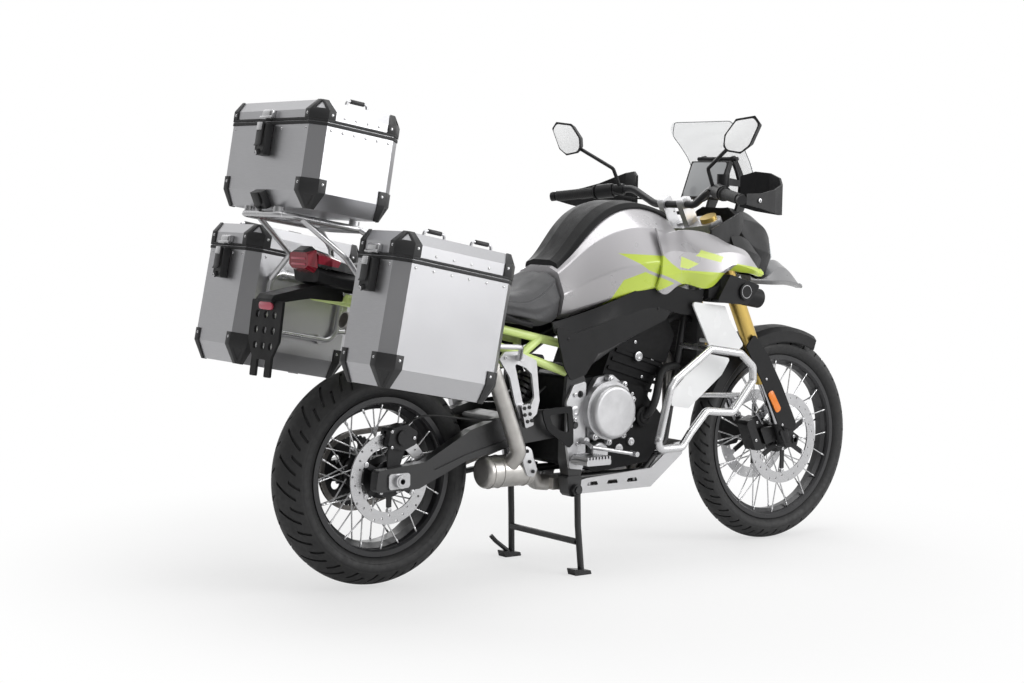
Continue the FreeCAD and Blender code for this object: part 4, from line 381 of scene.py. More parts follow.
def primitive(kind, **sizes):
    """Adds one of Blender's mesh primitives at its size and place."""
    bpy.ops.object.select_all(action="DESELECT")
    getattr(bpy.ops.mesh, "primitive_" + kind + "_add")(**sizes)
    bpy.ops.object.transform_apply(location=True, rotation=True, scale=True)
    return bpy.context.object


def box(place, size):
    return primitive("cube", size=1.0, location=place, scale=size)


def disc(radius, height, sides, soft=0.0, segments=2):
    """Short cylinder that stands on the origin."""
    piece = primitive("cylinder", vertices=sides, radius=radius, depth=height, location=(0, 0, height / 2))
    return bevelled(piece, soft, segments, 40) if soft else piece


def hoop(radius, thick, segments, place=(0, 0, 0), turn=(pi / 2, 0, 0)):
    return primitive("torus", major_segments=segments[0], minor_segments=segments[1], major_radius=radius,
                     minor_radius=thick, location=place, rotation=turn)


def work(piece, chosen, *steps, kind="FACE"):
    """Chooses faces or vertices by their place and runs edit-mode steps on them."""
    pick(piece)
    bpy.ops.object.mode_set(mode="EDIT")
    bpy.ops.mesh.select_mode(type=kind)
    bpy.ops.mesh.select_all(action="DESELECT")
    bpy.ops.object.mode_set(mode="OBJECT")
    for item in piece.data.polygons if kind == "FACE" else piece.data.vertices:
        item.select = bool(chosen(item))
    bpy.ops.object.mode_set(mode="EDIT")
    for step, settings in steps:
        group, name = ("mesh." + step).split(".")[-2:]
        getattr(getattr(bpy.ops, group), name)(**settings)
    bpy.ops.object.mode_set(mode="OBJECT")
    return piece


def overall(piece, *steps):
    """Runs edit-mode steps on the whole piece."""
    return work(piece, lambda item: True, *steps, kind="VERT")


def shaped(piece, kind, **settings):
    """Adds a modifier to the piece and applies it."""
    pick(piece)
    modifier = given(piece.modifiers.new(kind.lower(), kind), **settings)
    bpy.ops.object.modifier_apply(modifier=modifier.name)
    return piece


def bevelled(piece, width, segments=2, angle=30):
    limit = radians(angle)
    return shaped(piece, "BEVEL", width=width, segments=segments, limit_method="ANGLE", angle_limit=limit)


def moved(piece, matrix):
    piece.data.transform(matrix)
    return piece


def joined(pieces):
    pick(*pieces)
    if len(pieces) > 1:
        bpy.ops.object.join()
    return bpy.context.view_layer.objects.active


def copied(piece, matrices):
    """One piece made of a copy of the model piece at each place; the model goes."""
    spots = [vertex.co.copy() for vertex in piece.data.vertices]
    loops = [tuple(face.vertices) for face in piece.data.polygons]
    corners, faces = [], []
    for matrix in matrices:
        start = len(corners)
        corners += [matrix @ spot for spot in spots]
        faces += [[start + k for k in loop] for loop in loops]
    mesh = bpy.data.meshes.new("copies")
    mesh.from_pydata(corners, [], faces)
    bpy.data.objects.remove(piece)
    return placed("copies", mesh)


def settled(name, piece, look="bright_steel", body="chassis", angle=35):
    """Names a finished piece and gives it its finish, its smooth edges and the body it rides on."""
    material, slot = LOOKS[look] if look in LOOKS else (FINISHES[look], look)
    piece.name = piece.data.name = name
    piece.data.materials.clear()
    piece.data.materials.append(material)
    pick(piece)
    bpy.ops.object.shade_smooth_by_angle(angle=radians(angle))
    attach(piece, body)
    return piece


def draped(rows, closed=False, *more):
    """Grid laid through rows of points; closed joins each row's end to its start."""
    if closed:
        rows = [list(row) + [row[0]] for row in rows]
    count, width = len(rows), len(rows[0])
    piece = primitive("grid", x_subdivisions=width - 1, y_subdivisions=count - 1, size=2.0)
    for vertex in piece.data.vertices:
        column = round((vertex.co.x + 1) / 2 * (width - 1))
        row = round((vertex.co.y + 1) / 2 * (count - 1))
        vertex.co = rows[row][column]
    return overall(piece, ALL, merged(1e-6), *more, ALL, OUTWARD)


def outward(piece, centre):
    """Turns an open sheet so that it faces away from the centre."""
    if sum((face.center - centre).dot(face.normal) * face.area for face in piece.data.polygons) < 0:
        piece.data.flip_normals()
    return piece


def facing(place, direction, roll=0.0):
    """Place whose own +Z looks along the direction."""
    turn = Vector(direction).to_track_quat("Z", "Y").to_matrix().to_4x4()
    return Matrix.Translation(place) @ turn @ Matrix.Rotation(radians(roll), 4, "Z")


def swept(points, order, resolution, **profile):
    """Mesh of a smooth line through the points, or of a tube round it."""
    curve = given(bpy.data.curves.new("line", "CURVE"), dimensions="3D", resolution_u=resolution, **profile)
    spline = curve.splines.new("NURBS")
    spline.points.add(len(points) - 1)
    for knot, place in zip(spline.points, points):
        knot.co = (*place, 1.0)
    given(spline, order_u=order, use_endpoint_u=True)
    holder = placed("line", curve)
    mesh = bpy.data.meshes.new_from_object(holder)
    bpy.data.objects.remove(holder)
    return mesh


def wire_run(name, points, radius, look, body, fineness):
    """Round hose or wire through the points."""
    tube = swept(points, 4, 6, bevel_depth=radius, bevel_resolution=fineness, use_fill_caps=True)
    settled(name, placed(name, tube), look, body, 60)


# ---- small hardware
def bolt(radius, height):
    """Flanged head with a round socket, its foot at the origin."""
    head = disc(radius, height, 20, height * 0.18)
    top = height * 0.98
    work(head, looking(0, 0, 1, lambda f: f.center.z > top and f.area > radius * radius),
         inset(radius * 0.45))
    return work(head, looking(0, 0, 1, lambda f: f.center.xy.length < radius * 0.1),
                pulled(0, 0, -height * 0.5))


def rivet(radius):
    """Low domed head."""
    dome = primitive("uv_sphere", segments=10, ring_count=6, radius=radius)
    work(dome, lambda v: v.co.z < -1e-6, ("delete", {"type": "VERT"}), NONE, *FILLED, kind="VERT")
    return moved(dome, Matrix.Scale(0.45, 4, (0, 0, 1)))


# ---- luggage fittings
PANNIER = dict(x=-0.26, z=0.985, tilt=10.5, length=0.392, depth=0.34, bevel=0.052, top=0.07,
               shares=(0.3, 0.7))
CASES = {
    "right_pannier": Sizes(**PANNIER, low=-0.53, high=-0.292, handles=("low",)),
    "left_pannier": Sizes(**PANNIER, low=0.248, high=0.53, handles=("high",)),
    "top_case": Sizes(x=-0.345, z=1.34, tilt=9, length=0.286, low=-0.242, high=0.242, depth=0.234,
                      bevel=0.044, top=0.06, handles=("low", "high"), shares=(0.5,)),
}
CHAMFER = 0.036
POINT = 0.006                   # what is left of the chamfer at the floor and at the crown
LID_SLOPE = 0.03
LID_INSET = 0.024
TAB, POINT_TAB = 0.022, 0.013   # how far a corner cap reaches along the faces beside it
CORNERS = ((7, 0), (1, 2), (3, 4), (5, 6))
RIVET = 0.0042                  # radius
RIVETS_BELOW, RIVETS_ABOVE = -0.021, 0.019          # the seam's two rows of rivets


def case_place(case):
    corner = Matrix.Translation((AXLE_BACK + case.x, 0, case.z))
    return corner @ Matrix.Rotation(radians(case.tilt), 4, "Y")


def case_ring(case, margin, c, z):
    """The eight corners of the case's outline, chamfered by c, at height z from the seam."""
    x0, x1 = margin, case.length - margin
    y0, y1 = case.low + margin, case.high - margin
    outline = [(x0 + c, y0), (x1 - c, y0), (x1, y0 + c), (x1, y1 - c), (x1 - c, y1), (x0 + c, y1),
               (x0, y1 - c), (x0, y0 + c)]
    return [Vector((x, y, z)) for x, y in outline]


def corner_row(ring, reach, first, second):
    """Points round one corner: tab, two chamfer edges, tab."""
    before, a, b, after = ring[first - 1], ring[first], ring[second], ring[(second + 1) % 8]
    return [a + (before - a).normalized() * reach, a, b, b + (after - b).normalized() * reach]


def corner_cap(levels, corner, centre, open_facet):
    rows = [corner_row(ring, reach, *corner) for ring, reach in levels]
    cap = outward(draped(rows), centre)
    facet = (rows[1][1] + rows[1][2] + rows[2][1] + rows[2][2]) / 4

    def on_facet(face):
        return (face.center - facet).length < 0.006
    work(cap, on_facet, inset(0.006))
    work(cap, on_facet, ("delete", {"type": "FACE"}) if open_facet else inset(0.001, -0.0015))
    shaped(cap, "SOLIDIFY", thickness=0.0035, offset=1.0)
    return bevelled(cap, 0.0009, 2, 25)


def seal(case, low, high, out):
    """Rubber strip round the seam."""
    levels = [case_ring(case, 0, CHAMFER, z) for z in (low, high)]
    strip = outward(draped(levels, True), sum(levels[0], Vector()) / 8)
    shaped(strip, "SOLIDIFY", thickness=out, offset=1.0)
    return bevelled(strip, 0.0006, 2, 60)


def latch(y):
    """Housing of the lid lock on the rear face, with its lever and key barrel."""
    body = box((-0.013, y, -0.048), (0.026, 0.047, 0.078))
    work(body, looking(0, 0, -1), pulled(0.003, 0, -0.01))
    work(body, looking(-1, 0, 0, lambda f: f.area > 0.002), inset(0.006, -0.0025))
    lever = box((-0.029, y, -0.036), (0.006, 0.03, 0.06))
    work(lever, looking(0, 0, -1), pulled(-0.004, 0, -0.008))
    barrel = primitive("cylinder", vertices=24, radius=0.0085, depth=0.014, location=(-0.026, y, -0.09),
                       rotation=(0, radians(68), 0))
    return joined([bevelled(body, 0.0035, 3), bevelled(lever, 0.002), bevelled(barrel, 0.0015)])


def keeper(y):
    """Hook plate of the latch on the lid."""
    plate = box((-0.007, y, 0.017), (0.014, 0.05, 0.026))
    work(plate, looking(-1, 0, 0), inset(0.005, 0.004))
    bar = primitive("cylinder", vertices=20, radius=0.005, depth=0.06, location=(-0.016, y, 0.008),
                    rotation=(radians(90), 0, 0))
    return joined([bevelled(plate, 0.002), bevelled(bar, 0.001)])


def tab_rivets(level, z, centre):
    """Places of the two rivets in the tabs of every corner cap, at height z."""
    places = []
    for corner in CORNERS:
        row = corner_row(*level, *corner)
        for tab, edge in ((row[0], row[1]), (row[3], row[2])):
            across = (edge - tab).normalized()
            out = Vector((-across.y, across.x, 0))
            spot = (tab + edge) / 2
            spot.z = z
            if out.dot(spot - centre) < 0:
                out.negate()
            places.append(facing(spot + out * 0.0034, out))
    return places


def case_fittings(name, case):
    """Corner caps, seals, latch, keeper and rivets of one case and its lid."""
    lid = name + "_lid"
    low, high, length, depth, top = case.low, case.high, case.length, case.depth, case.top
    middle = (low + high) / 2
    knee, eave = case.bevel - depth, top - LID_SLOPE
    centre, lid_centre = Vector((length / 2, middle, -depth / 2)), Vector((length / 2, middle, -0.02))
    foot = [(case_ring(case, 0, CHAMFER, z), TAB) for z in (knee + 0.036, knee)]
    foot.append((case_ring(case, case.bevel * 0.62, POINT, -depth), POINT_TAB))
    crown = [(case_ring(case, 0, CHAMFER, z), TAB) for z in (0.008, eave)]
    crown.append((case_ring(case, LID_INSET, POINT, top), POINT_TAB))
    body_rivets = tab_rivets(foot[0], knee + 0.022, centre)
    lid_rivets = tab_rivets(crown[0], eave - 0.01, centre)
    for k in range(6):
        x = 0.05 + (length - 0.1) * k / 5
        for y, out in ((low, -1), (high, 1)):
            body_rivets.append(facing((x, y, RIVETS_BELOW), (0, out, 0)))
            lid_rivets.append(facing((x, y, RIVETS_ABOVE), (0, out, 0)))
    for k in range(4):
        y = low + 0.05 + (high - low - 0.1) * k / 3
        if abs(y - middle) > 0.03:
            body_rivets.append(facing((0, y, RIVETS_BELOW), (-1, 0, 0)))
    pieces = (
        (name + "_foot_caps", joined([corner_cap(foot, corner, centre, False) for corner in CORNERS]),
         "corner_black", "chassis"),
        (name + "_crown_caps", joined([corner_cap(crown, corner, lid_centre, True) for corner in CORNERS]),
         "corner_black", lid),
        (name + "_lower_seal", seal(case, -0.01, -0.001, 0.0022), "seal_rubber", "chassis"),
        (name + "_upper_seal", seal(case, 0.001, 0.008, 0.003), "seal_rubber", lid),
        (name + "_latch", latch(middle), "corner_black", "chassis"),
        (name + "_keeper", keeper(middle), "bright_steel", lid),
        (name + "_rivets", copied(rivet(RIVET), body_rivets), "bright_steel", "chassis", 60),
        (lid + "_rivets", copied(rivet(RIVET), lid_rivets), "bright_steel", lid, 60),
    )
    for title, piece, *rest in pieces:
        settled(title, moved(piece, case_place(case)), *rest)


def case_extras(name, case):
    """Key barrels, handle sleeves and, on the top case, the lock that frees it from its rack."""
    place = case_place(case)
    middle = (case.low + case.high) / 2
    barrels = [facing((-0.0325, middle, -0.0926), (-1, 0, -0.4))]
    if name == "top_case":
        lean = Matrix.Translation((0.001, 0, -0.184)) @ Matrix.Rotation(radians(-32), 4, "Y")
        lock = moved(latch(middle), place @ lean @ Matrix.Diagonal((0.95, 1.22, 0.58, 1.0)))
        settled(name + "_rack_lock", lock, "corner_black")
        barrels.append(lean @ facing((-0.0242, 0.019, -0.017), (-1, 0, 0)))
    keys = copied(bolt(0.0062, 0.003), barrels)
    grip = bevelled(box((-0.0325, middle, -0.019), (0.002, 0.026, 0.022)), 0.0006)
    settled(name + "_latch_trim", moved(joined([keys, grip]), place))
    edge = LID_INSET + 0.016
    edges = {"low": case.low + edge, "high": case.high - edge}
    sleeve = bevelled(primitive("cylinder", vertices=20, radius=0.0062, depth=0.044), 0.0014, 2, 40)
    sleeves = [facing((case.length * share, edges[key], case.top + 0.014), (1, 0, 0))
               for share in case.shares for key in case.handles]
    settled(name + "_handle_sleeves", moved(copied(sleeve, sleeves), place), "corner_black", name + "_lid")


# ---- wheels
WHEELS = {
    "front": Sizes(x=AXLE_BACK + 1.607, z=0.3475, tyre_r=0.3475, half=0.046, wall=0.008, flange=0.279,
                   seat_r=0.2665, seat=0.029, pitches=32, sweep=8.5, hub_r=0.05, spoke_y=0.036),
    "rear": Sizes(x=AXLE_BACK, z=0.331, tyre_r=0.321, half=0.075, wall=0.01, flange=0.232, seat_r=0.218,
                  seat=0.055, pitches=26, sweep=11.5, hub_r=0.062, spoke_y=0.044),
}
SPOKES = 40
STEPS = 8                       # faces round the tyre in one pitch of its tread
GROOVE_DEPTH = 0.0055
SHOULDER = 0.56                 # where the crown ends, as a share of the way up from the bead seat
# Bolt circles: name, wheel, circle's radius, y of the face that the heads stand on, count, bolt radius.
WHEEL_BOLTS = (
    ("front_disc_bolts_outer_right", "front", 0.1125, -0.0725, 6, 0.0068),
    ("front_disc_bolts_inner_right", "front", 0.036, -0.0725, 6, 0.0055),
    ("front_disc_bolts_outer_left", "front", 0.1125, 0.0725, 6, 0.0068),
    ("front_disc_bolts_inner_left", "front", 0.036, 0.0725, 6, 0.0055),
    ("rear_disc_bolts_outer", "rear", 0.0925, -0.0965, 6, 0.0068),
    ("rear_disc_bolts_inner", "rear", 0.048, -0.0965, 5, 0.0055),
    ("sprocket_bolts", "rear", 0.06, 0.1, 6, 0.007),
)


def arc_through(start, middle, end, count):
    """Points on the circle through three (y, r) points."""
    a, b, c = (complex(*point) for point in (start, middle, end))
    w = (c - a) / (b - a)
    centre = a + (b - a) * (w - abs(w) ** 2) / (2j * w.imag)
    first, mid, last = (phase(point - centre) for point in (a, b, c))
    turn = (last - first) % (2 * pi)
    if (mid - first) % (2 * pi) > turn:
        turn -= 2 * pi
    arc = [centre + rect(abs(a - centre), first + turn * k / (count - 1)) for k in range(count)]
    return [(point.real, point.imag) for point in arc]


def part_way_up(w, share):
    """Radius part of the way from the bead seat to the crown."""
    return w.seat_r + share * (w.tyre_r - w.seat_r)


def tyre_section(w):
    """Closed (y, r) section: the crown first, from its left shoulder to its right one."""
    half, wall, bead_y, bead_r = w.half, w.wall, w.seat - 0.0003, w.seat_r + 0.0003
    shoulder = part_way_up(w, SHOULDER)
    side_r = (bead_r + shoulder) / 2 + 0.008
    crown = arc_through((half, shoulder), (0, w.tyre_r), (-half, shoulder), 27)
    side = arc_through((-half, shoulder), (-half + 0.002, side_r), (-bead_y, w.flange + 0.001), 9)[1:]
    back = [(-bead_y, bead_r), (wall - bead_y, bead_r), (wall - half, shoulder - 0.002)]
    mirrored = [[(-y, r) for y, r in reversed(points)] for points in (back, side)]
    return crown + side + back + [(0, w.tyre_r - wall - 0.002)] + mirrored[0] + mirrored[1]


def tread_lead(w, y):
    """How far, in degrees, the tread's lines run ahead at y: a curved arrow from shoulder to shoulder."""
    return -w.sweep * min(1.0, abs(y) / w.half) ** 1.15


def on_wheel(w, y, r, degrees):
    turn = radians(degrees)
    return Vector((w.x + r * cos(turn), y, w.z + r * sin(turn)))


def in_groove(w, face):
    """True for the faces of the tyre's crown that lie in a groove of the tread."""
    out = face.center - Vector((w.x, 0, w.z))
    radius = hypot(out.x, out.z)
    inner = radius < w.tyre_r - w.wall * 0.9 and out.dot(face.normal) < 0
    if inner or radius < part_way_up(w, 0.5) or abs(face.normal.y) > 0.93:
        return False
    angle = degrees(atan2(out.z, out.x)) + tread_lead(w, out.y)
    turn = -angle / 360 * w.pitches + (0.5 if out.y > 0 else 0.0)
    step = int((turn % 1.0) * STEPS)
    share = abs(out.y) / w.half
    return step == 0 and 0.06 < share < 0.86 or step == STEPS // 2 and 0.6 < share < 0.97


def tread_piece(w):
    section = tyre_section(w)
    count = w.pitches * STEPS
    rows = [[on_wheel(w, y, r, 360.0 * k / count - tread_lead(w, y)) for y, r in section]
            for k in range(count + 1)]
    tread = outward(draped(rows, True), Vector((w.x, 0, w.z)))
    return work(tread, lambda face: in_groove(w, face), inset(0.0007, -GROOVE_DEPTH, use_even_offset=True))


def sidewall_rings(w):
    rings = ((w.flange + 0.01, w.seat + 0.0055, 0.0012), (w.flange + 0.02, w.half - 0.0035, 0.0008))
    return joined([hoop(r, thick, (120, 6), (w.x, side * y, w.z))
                   for side in (-1, 1) for r, y, thick in rings])


def nipples(w):
    """Spoke nipples at the rim, one for each spoke."""
    places = []
    for k in range(SPOKES):
        side, cross, degrees = (1 if k % 2 else -1), (1 if (k // 2) % 2 else -1), 360.0 / SPOKES * k
        end = on_wheel(w, side * (w.seat - 0.004 + cross * 0.0025), w.seat_r - 0.0072, degrees)
        start = on_wheel(w, side * (w.spoke_y + cross * 0.006), w.hub_r, degrees + cross * 34)
        places.append(facing(end, start - end))
    return copied(disc(0.0034, 0.016, 8, 0.0008, 1), places)


def tyre_rubber(name, w):
    """Black rubber: the tread's lands a little worn and greyer, its grooves deep black."""
    finish = Finish(name, (0.012, 0.012, 0.0125), 0.6)
    shoulder = part_way_up(w, SHOULDER)
    rise = w.tyre_r - shoulder
    bend = (w.half ** 2 + rise ** 2) / (2 * rise)
    x, y, z = finish.axes()
    x, z = x - w.x, z - w.z
    out = (x * x + z * z) ** 0.5
    up = out - (w.tyre_r - bend)
    depth = bend - (up * up + y * y) ** 0.5
    land = finish.spread(depth, 0.001, 0.0026, 1.0, 0.0) * (out > shoulder)
    dust = finish.spread(finish.noise(14, 5.0, 0.6), 0.35, 0.75)
    worn = finish.blend(dust, (0.0175, 0.0175, 0.018), (0.028, 0.028, 0.0285))
    sunk = finish.blend(dust, (0.0085, 0.0085, 0.009), (0.0125, 0.0125, 0.013))
    finish.between(land, sunk, worn)
    finish.wander(70, 3.0, 0.08, 0.1)
    return finish.relief(finish.noise(900, 3.0) + finish.noise(120, 2.0) * 0.5, 0.0001)


def spoked_hub(name, w):
    """Black cast hub with bright steel spokes, which begin outside the hub's drum."""
    finish = Finish(name, (0.02, 0.02, 0.021), 0.4, 0.5)
    x, y, z = finish.axes()
    x, z = x - w.x, z - w.z
    away = finish.maths("SQRT", x * x + z * z)
    spokes = (away > w.hub_r + 0.001) * (abs(y) < w.half + 0.002)
    cast = finish.blend(finish.noise(24, 3.0), (0.014, 0.014, 0.015), (0.026, 0.026, 0.028))
    finish.between(spokes, cast, (0.66, 0.66, 0.67))
    finish.set("Metallic", spokes * 0.5 + 0.45)
    rough = finish.spread(finish.noise(60, 4.0), 0.25, 0.75, 0.34, 0.5)
    finish.set("Roughness", rough - spokes * 0.14)
    return finish.relief(finish.noise(1300, 3.0, 0.6) * (1.0 - spokes), 0.0001)


def wheel_fittings():
    for name, w in WHEELS.items():
        body = name + "_wheel"
        LOOKS[name + "_tread"] = (tyre_rubber(name + "_tyre_rubber", w), "tyre")
        tyre = settled(name + "_tread", tread_piece(w), name + "_tread", body, 28)
        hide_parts(name + "_tyre")
        settled(name + "_sidewall_rings", sidewall_rings(w), name + "_tread", body)
        settled(name + "_nipples", nipples(w), body=body)
    for name, wheel, radius, y, count, size in WHEEL_BOLTS:
        spots = [on_wheel(WHEELS[wheel], y, radius, 90 + 360.0 / count * k) for k in range(count)]
        out = (0, copysign(1, y), 0)
        heads = copied(bolt(size, size * 0.42), [facing(spot, out) for spot in spots])
        settled(name, heads, body=wheel + "_wheel")


# ---- body colours
LIME = (0.53, 0.66, 0.075)
PALE_LIME = (0.66, 0.78, 0.2)
SILVER = (0.5, 0.485, 0.5)

# Stripes on both flanks: convex outlines of (x from the rear axle, z), joined up along shared edges.
BOLD_STRIPES = (
    ((0.774, 0.978), (0.861, 0.927), (0.935, 0.949), (0.904, 0.972)),
    ((0.861, 0.927), (0.984, 0.888), (0.97, 0.927), (0.935, 0.949)),
    ((0.984, 0.888), (1.065, 0.862), (1.15, 0.868), (1.194, 0.915), (0.97, 0.928)),
    ((0.74, 0.812), (0.784, 0.897), (0.849, 0.922), (0.958, 0.886), (0.89, 0.858)),
    ((1.19, 0.86), (1.19, 0.938), (1.198, 0.946), (1.345, 0.927), (1.345, 0.86)),
)
PALE_STRIPES = (
    ((1.052, 0.99), (1.141, 0.968), (1.129, 0.951), (1.022, 0.972)),
    ((0.97, 0.97), (1.036, 0.947), (0.998, 0.931), (0.967, 0.937)),
)
# Outlines on the tail in the same way: the lens on the lamp's housing, and the dark brim of the lens.
HOUSING_LENS = ((-0.23, 0.949), (-0.23, 0.984), (-0.148, 0.956), (-0.162, 0.936))
LENS_BRIM = ((-0.2627, 0.9755), (-0.26, 1.02), (-0.19, 1.02), (-0.19, 0.998))


def inside(finish, outline, edge=0.0006):
    """1 inside a convex outline drawn on the flank, 0 outside it."""
    points = [(x + AXLE_BACK, z) for x, z in outline]
    middle_x, middle_z = (sum(values) / len(points) for values in zip(*points))
    nearest = None
    for (ax, az), (bx, bz) in zip(points, points[1:] + points[:1]):
        size = hypot(az - bz, bx - ax)
        nx, nz = (az - bz) / size, (bx - ax) / size
        if nx * (middle_x - ax) + nz * (middle_z - az) < 0:
            nx, nz = -nx, -nz
        gap = finish.dot(finish.place, (nx, 0, nz)) - (nx * ax + nz * az)
        nearest = finish.maths("MINIMUM", nearest, gap) if nearest else gap
    return finish.spread(nearest, -edge, edge)


def any_of(finish, outlines):
    total = inside(finish, outlines[0])
    for outline in outlines[1:]:
        total = finish.maths("MAXIMUM", total, inside(finish, outline))
    return total


def flank_paint():
    """Metallic silver, painted darker lower down and lighter higher up as painted shade and painted
    highlight, with the two greens of the flank stripes under one clear coat.
    """
    finish = Finish("flank_paint", SILVER, 0.3, 0.35, Coat_Weight=0.45, Coat_Roughness=0.1)
    flake = finish.spread(finish.noise(2600, 2.0), 0.35, 0.65)
    # painted shade and painted highlight: the silver darkens towards the bottom of the flank and lightens
    # towards the top
    low = finish.blend(flake, (0.355, 0.345, 0.352), (0.4, 0.39, 0.398))
    high = finish.blend(flake, (0.52, 0.508, 0.525), (0.57, 0.556, 0.575))
    silver = finish.blend(finish.spread(finish.axes()[2], 0.8, 1.06), low, high)
    bold, pale = any_of(finish, BOLD_STRIPES), any_of(finish, PALE_STRIPES)
    finish.between(pale, finish.blend(bold, silver, LIME), PALE_LIME)
    finish.set("Metallic", (1.0 - finish.maths("MAXIMUM", bold, pale)) * 0.38)
    finish.wander(12, 3.0, 0.04, 0.03)
    return finish.relief(finish.noise(700, 2.0), 0.00001)


def tail_lamp_skin():
    """Dark housing with the lens's red carried round its sides."""
    finish = Finish("tail_lamp_skin", (0.012, 0.012, 0.013), 0.4, Coat_Weight=0.2)
    lens = inside(finish, HOUSING_LENS)
    red = finish.blend(finish.ribs(0, 1500.0, 0.6), (0.26, 0.014, 0.03), (0.38, 0.034, 0.056))
    dark = finish.blend(finish.noise(9, 3.0), (0.01, 0.01, 0.011), (0.016, 0.016, 0.017))
    finish.between(lens, dark, red)
    finish.set("Roughness", 0.46 - lens * 0.34)
    return finish.relief(finish.cells(1500) * (1.0 - lens), 0.00008)


def lens_skin():
    """Red lens with a dark brim along its top."""
    finish = Finish("tail_lens", (0.26, 0.015, 0.03), 0.14, Coat_Weight=0.35, Coat_Roughness=0.08)
    brim, ribs = inside(finish, LENS_BRIM), finish.ribs(1, 700.0, 0.7)
    red = finish.blend(ribs, (0.22, 0.01, 0.022), (0.34, 0.024, 0.042))
    finish.between(brim, red, (0.012, 0.012, 0.013))
    finish.set("Roughness", brim * 0.3 + 0.14)
    return finish.relief(ribs, 0.0002)


def striped(name, colour, roughness, pitch, depth, low):
    """Fine even ribs across the machine, such as a grip's or a radiator core's, their grooves painted darker
    as shade.
    """
    finish = Finish(name, colour, roughness)
    ribs = finish.ribs(1, 2 * pi / pitch, 0.5)
    # painted shade: the grooves take the share low of the colour, the ribs the full colour
    finish.between(ribs, [c * low for c in colour], colour)
    finish.wander(60, 3.0, 0.06, 0.06)
    return finish.relief(ribs + finish.noise(900, 2.0) * 0.15, depth)


def coat_nodes():
    """Gives each node the finish of its slot, or its own one where its surface shows more than that."""
    flank = flank_paint()
    skins = {
        "fuel_tank": flank,
        "fairing_wings": flank,
        "beak": painted("beak_grey", (0.21, 0.21, 0.215), 0.34, 0.3, 0.2),
        "front_hub": spoked_hub("front_hub_and_spokes", WHEELS["front"]),
        "rear_hub": spoked_hub("rear_hub_and_spokes", WHEELS["rear"]),
        "instrument": FINISHES["control_black"],
        "nose_fairing": moulded("nose_plastic", (0.0165, 0.0165, 0.0175), 0.46),
        "tail_light": lens_skin(),
        "radiator": striped("radiator_core", (0.03, 0.03, 0.032), 0.5, 0.003, 0.0004, 0.3),
        "grips": striped("grip_ribs", (0.016, 0.016, 0.0165), 0.62, 0.0058, 0.0006, 0.7),
    }
    slots = {row["node"]: row["material_slot"] for row in frame["record"]["subparts"]}
    for node, piece in NODES.items():
        piece.data.materials.clear()
        piece.data.materials.append(skins.get(node) or FINISHES[slots[node]])


# ---- seats
PAD_SHRINK = 0.0045             # how much smaller the pad starts than the seat's solid
PAD_TRAVEL = 0.0075             # how far the cloth may travel
SEAM_STEP = 0.002               # between two places along a seam
# Seams of the two covers: x from the rear axle, half width, height, in metres.
SEAMS = {
    "rider": ((0.312, 0.16, 0.852), (0.36, 0.158, 0.842), (0.412, 0.151, 0.838), (0.464, 0.143, 0.838),
              (0.512, 0.132, 0.85), (0.555, 0.121, 0.872), (0.588, 0.106, 0.892)),
    "passenger": ((-0.084, 0.094, 0.918), (0.000, 0.116, 0.926), (0.06, 0.134, 0.928), (0.14, 0.144, 0.926),
                  (0.22, 0.148, 0.918), (0.285, 0.148, 0.884)),
}
CROSS_SEAMS = {"rider": (0.352, 0.888), "passenger": (0.206, 0.966)}
THREAD_ASIDE = 0.0042           # from a seam to its threads


def seat_skin():
    """Fine-grained vinyl, a shade lighter where it is sat on."""
    finish = Finish("seat_skin", (0.052, 0.052, 0.054), 0.6, Sheen_Weight=0.05)
    worn = finish.spread(finish.noise(7.0, 3.0), 0.35, 0.7)
    finish.between(worn, (0.046, 0.046, 0.048), (0.066, 0.066, 0.069))
    finish.wander(26, 3.0, 0.08, 0.08)
    return finish.relief(finish.cells(1100) + finish.noise(260, 3.0) * 0.6, 0.00013)


def inflated(pad, start):
    """Cloth run under pressure with the pad's underside held."""
    held = pad.vertex_groups.new(name="base")
    held.add([k for k, row in enumerate(start) if row[1].z < -0.75], 1.0, "REPLACE")
    cloth = pad.modifiers.new("cloth", "CLOTH")
    given(cloth.settings, use_pressure=True, uniform_pressure_force=4.0, tension_stiffness=12.0,
          compression_stiffness=12.0, vertex_group_mass=held.name)
    cloth.settings.effector_weights.gravity = 0.0
    for step in range(1, 21):
        bpy.context.scene.frame_set(step)
    pick(pad)
    bpy.ops.object.modifier_apply(modifier=cloth.name)
    bpy.context.scene.frame_set(1)
    pad.vertex_groups.clear()


def puffed(node):
    """Pads a seat out from a slightly smaller copy of its solid, by a cloth run under pressure."""
    pad = overall(placed("pad", NODES[node].data.copy()), ALL, merged(1e-5), OUTWARD)
    shaped(pad, "REMESH", mode="VOXEL", voxel_size=0.005)
    overall(pad, ALL, ("transform.shrink_fatten", {"value": -PAD_SHRINK}))
    shaped(pad, "SMOOTH", factor=0.5, iterations=4)
    start = [(v.co.copy(), v.normal.copy()) for v in pad.data.vertices]
    inflated(pad, start)
    for vertex, (place, normal) in zip(pad.data.vertices, start):
        travel = vertex.co - place
        reach = PAD_TRAVEL * (1.0 - 0.5 * abs(normal.x))
        if travel.length > reach:
            vertex.co = place + travel * (reach / travel.length)
    shaped(pad, "SMOOTH", factor=0.4, iterations=2)
    return shaped(pad, "SUBSURF", levels=1, render_levels=1)


def along(points):
    """Points at an even pitch on a smooth line through the given ones."""
    spots = [v.co.copy() for v in swept(points, 3, 24).vertices]
    even, carried = [spots[0]], 0.0
    for first, second in zip(spots, spots[1:]):
        step = (second - first).length
        while step > 0 and carried + step >= SEAM_STEP:
            first = first.lerp(second, (SEAM_STEP - carried) / step)
            step = (second - first).length
            carried = 0.0
            even.append(first)
        carried += step
    return even


def surface(pad):
    return BVHTree.FromPolygons([v.co for v in pad.data.vertices], [p.vertices for p in pad.data.polygons])


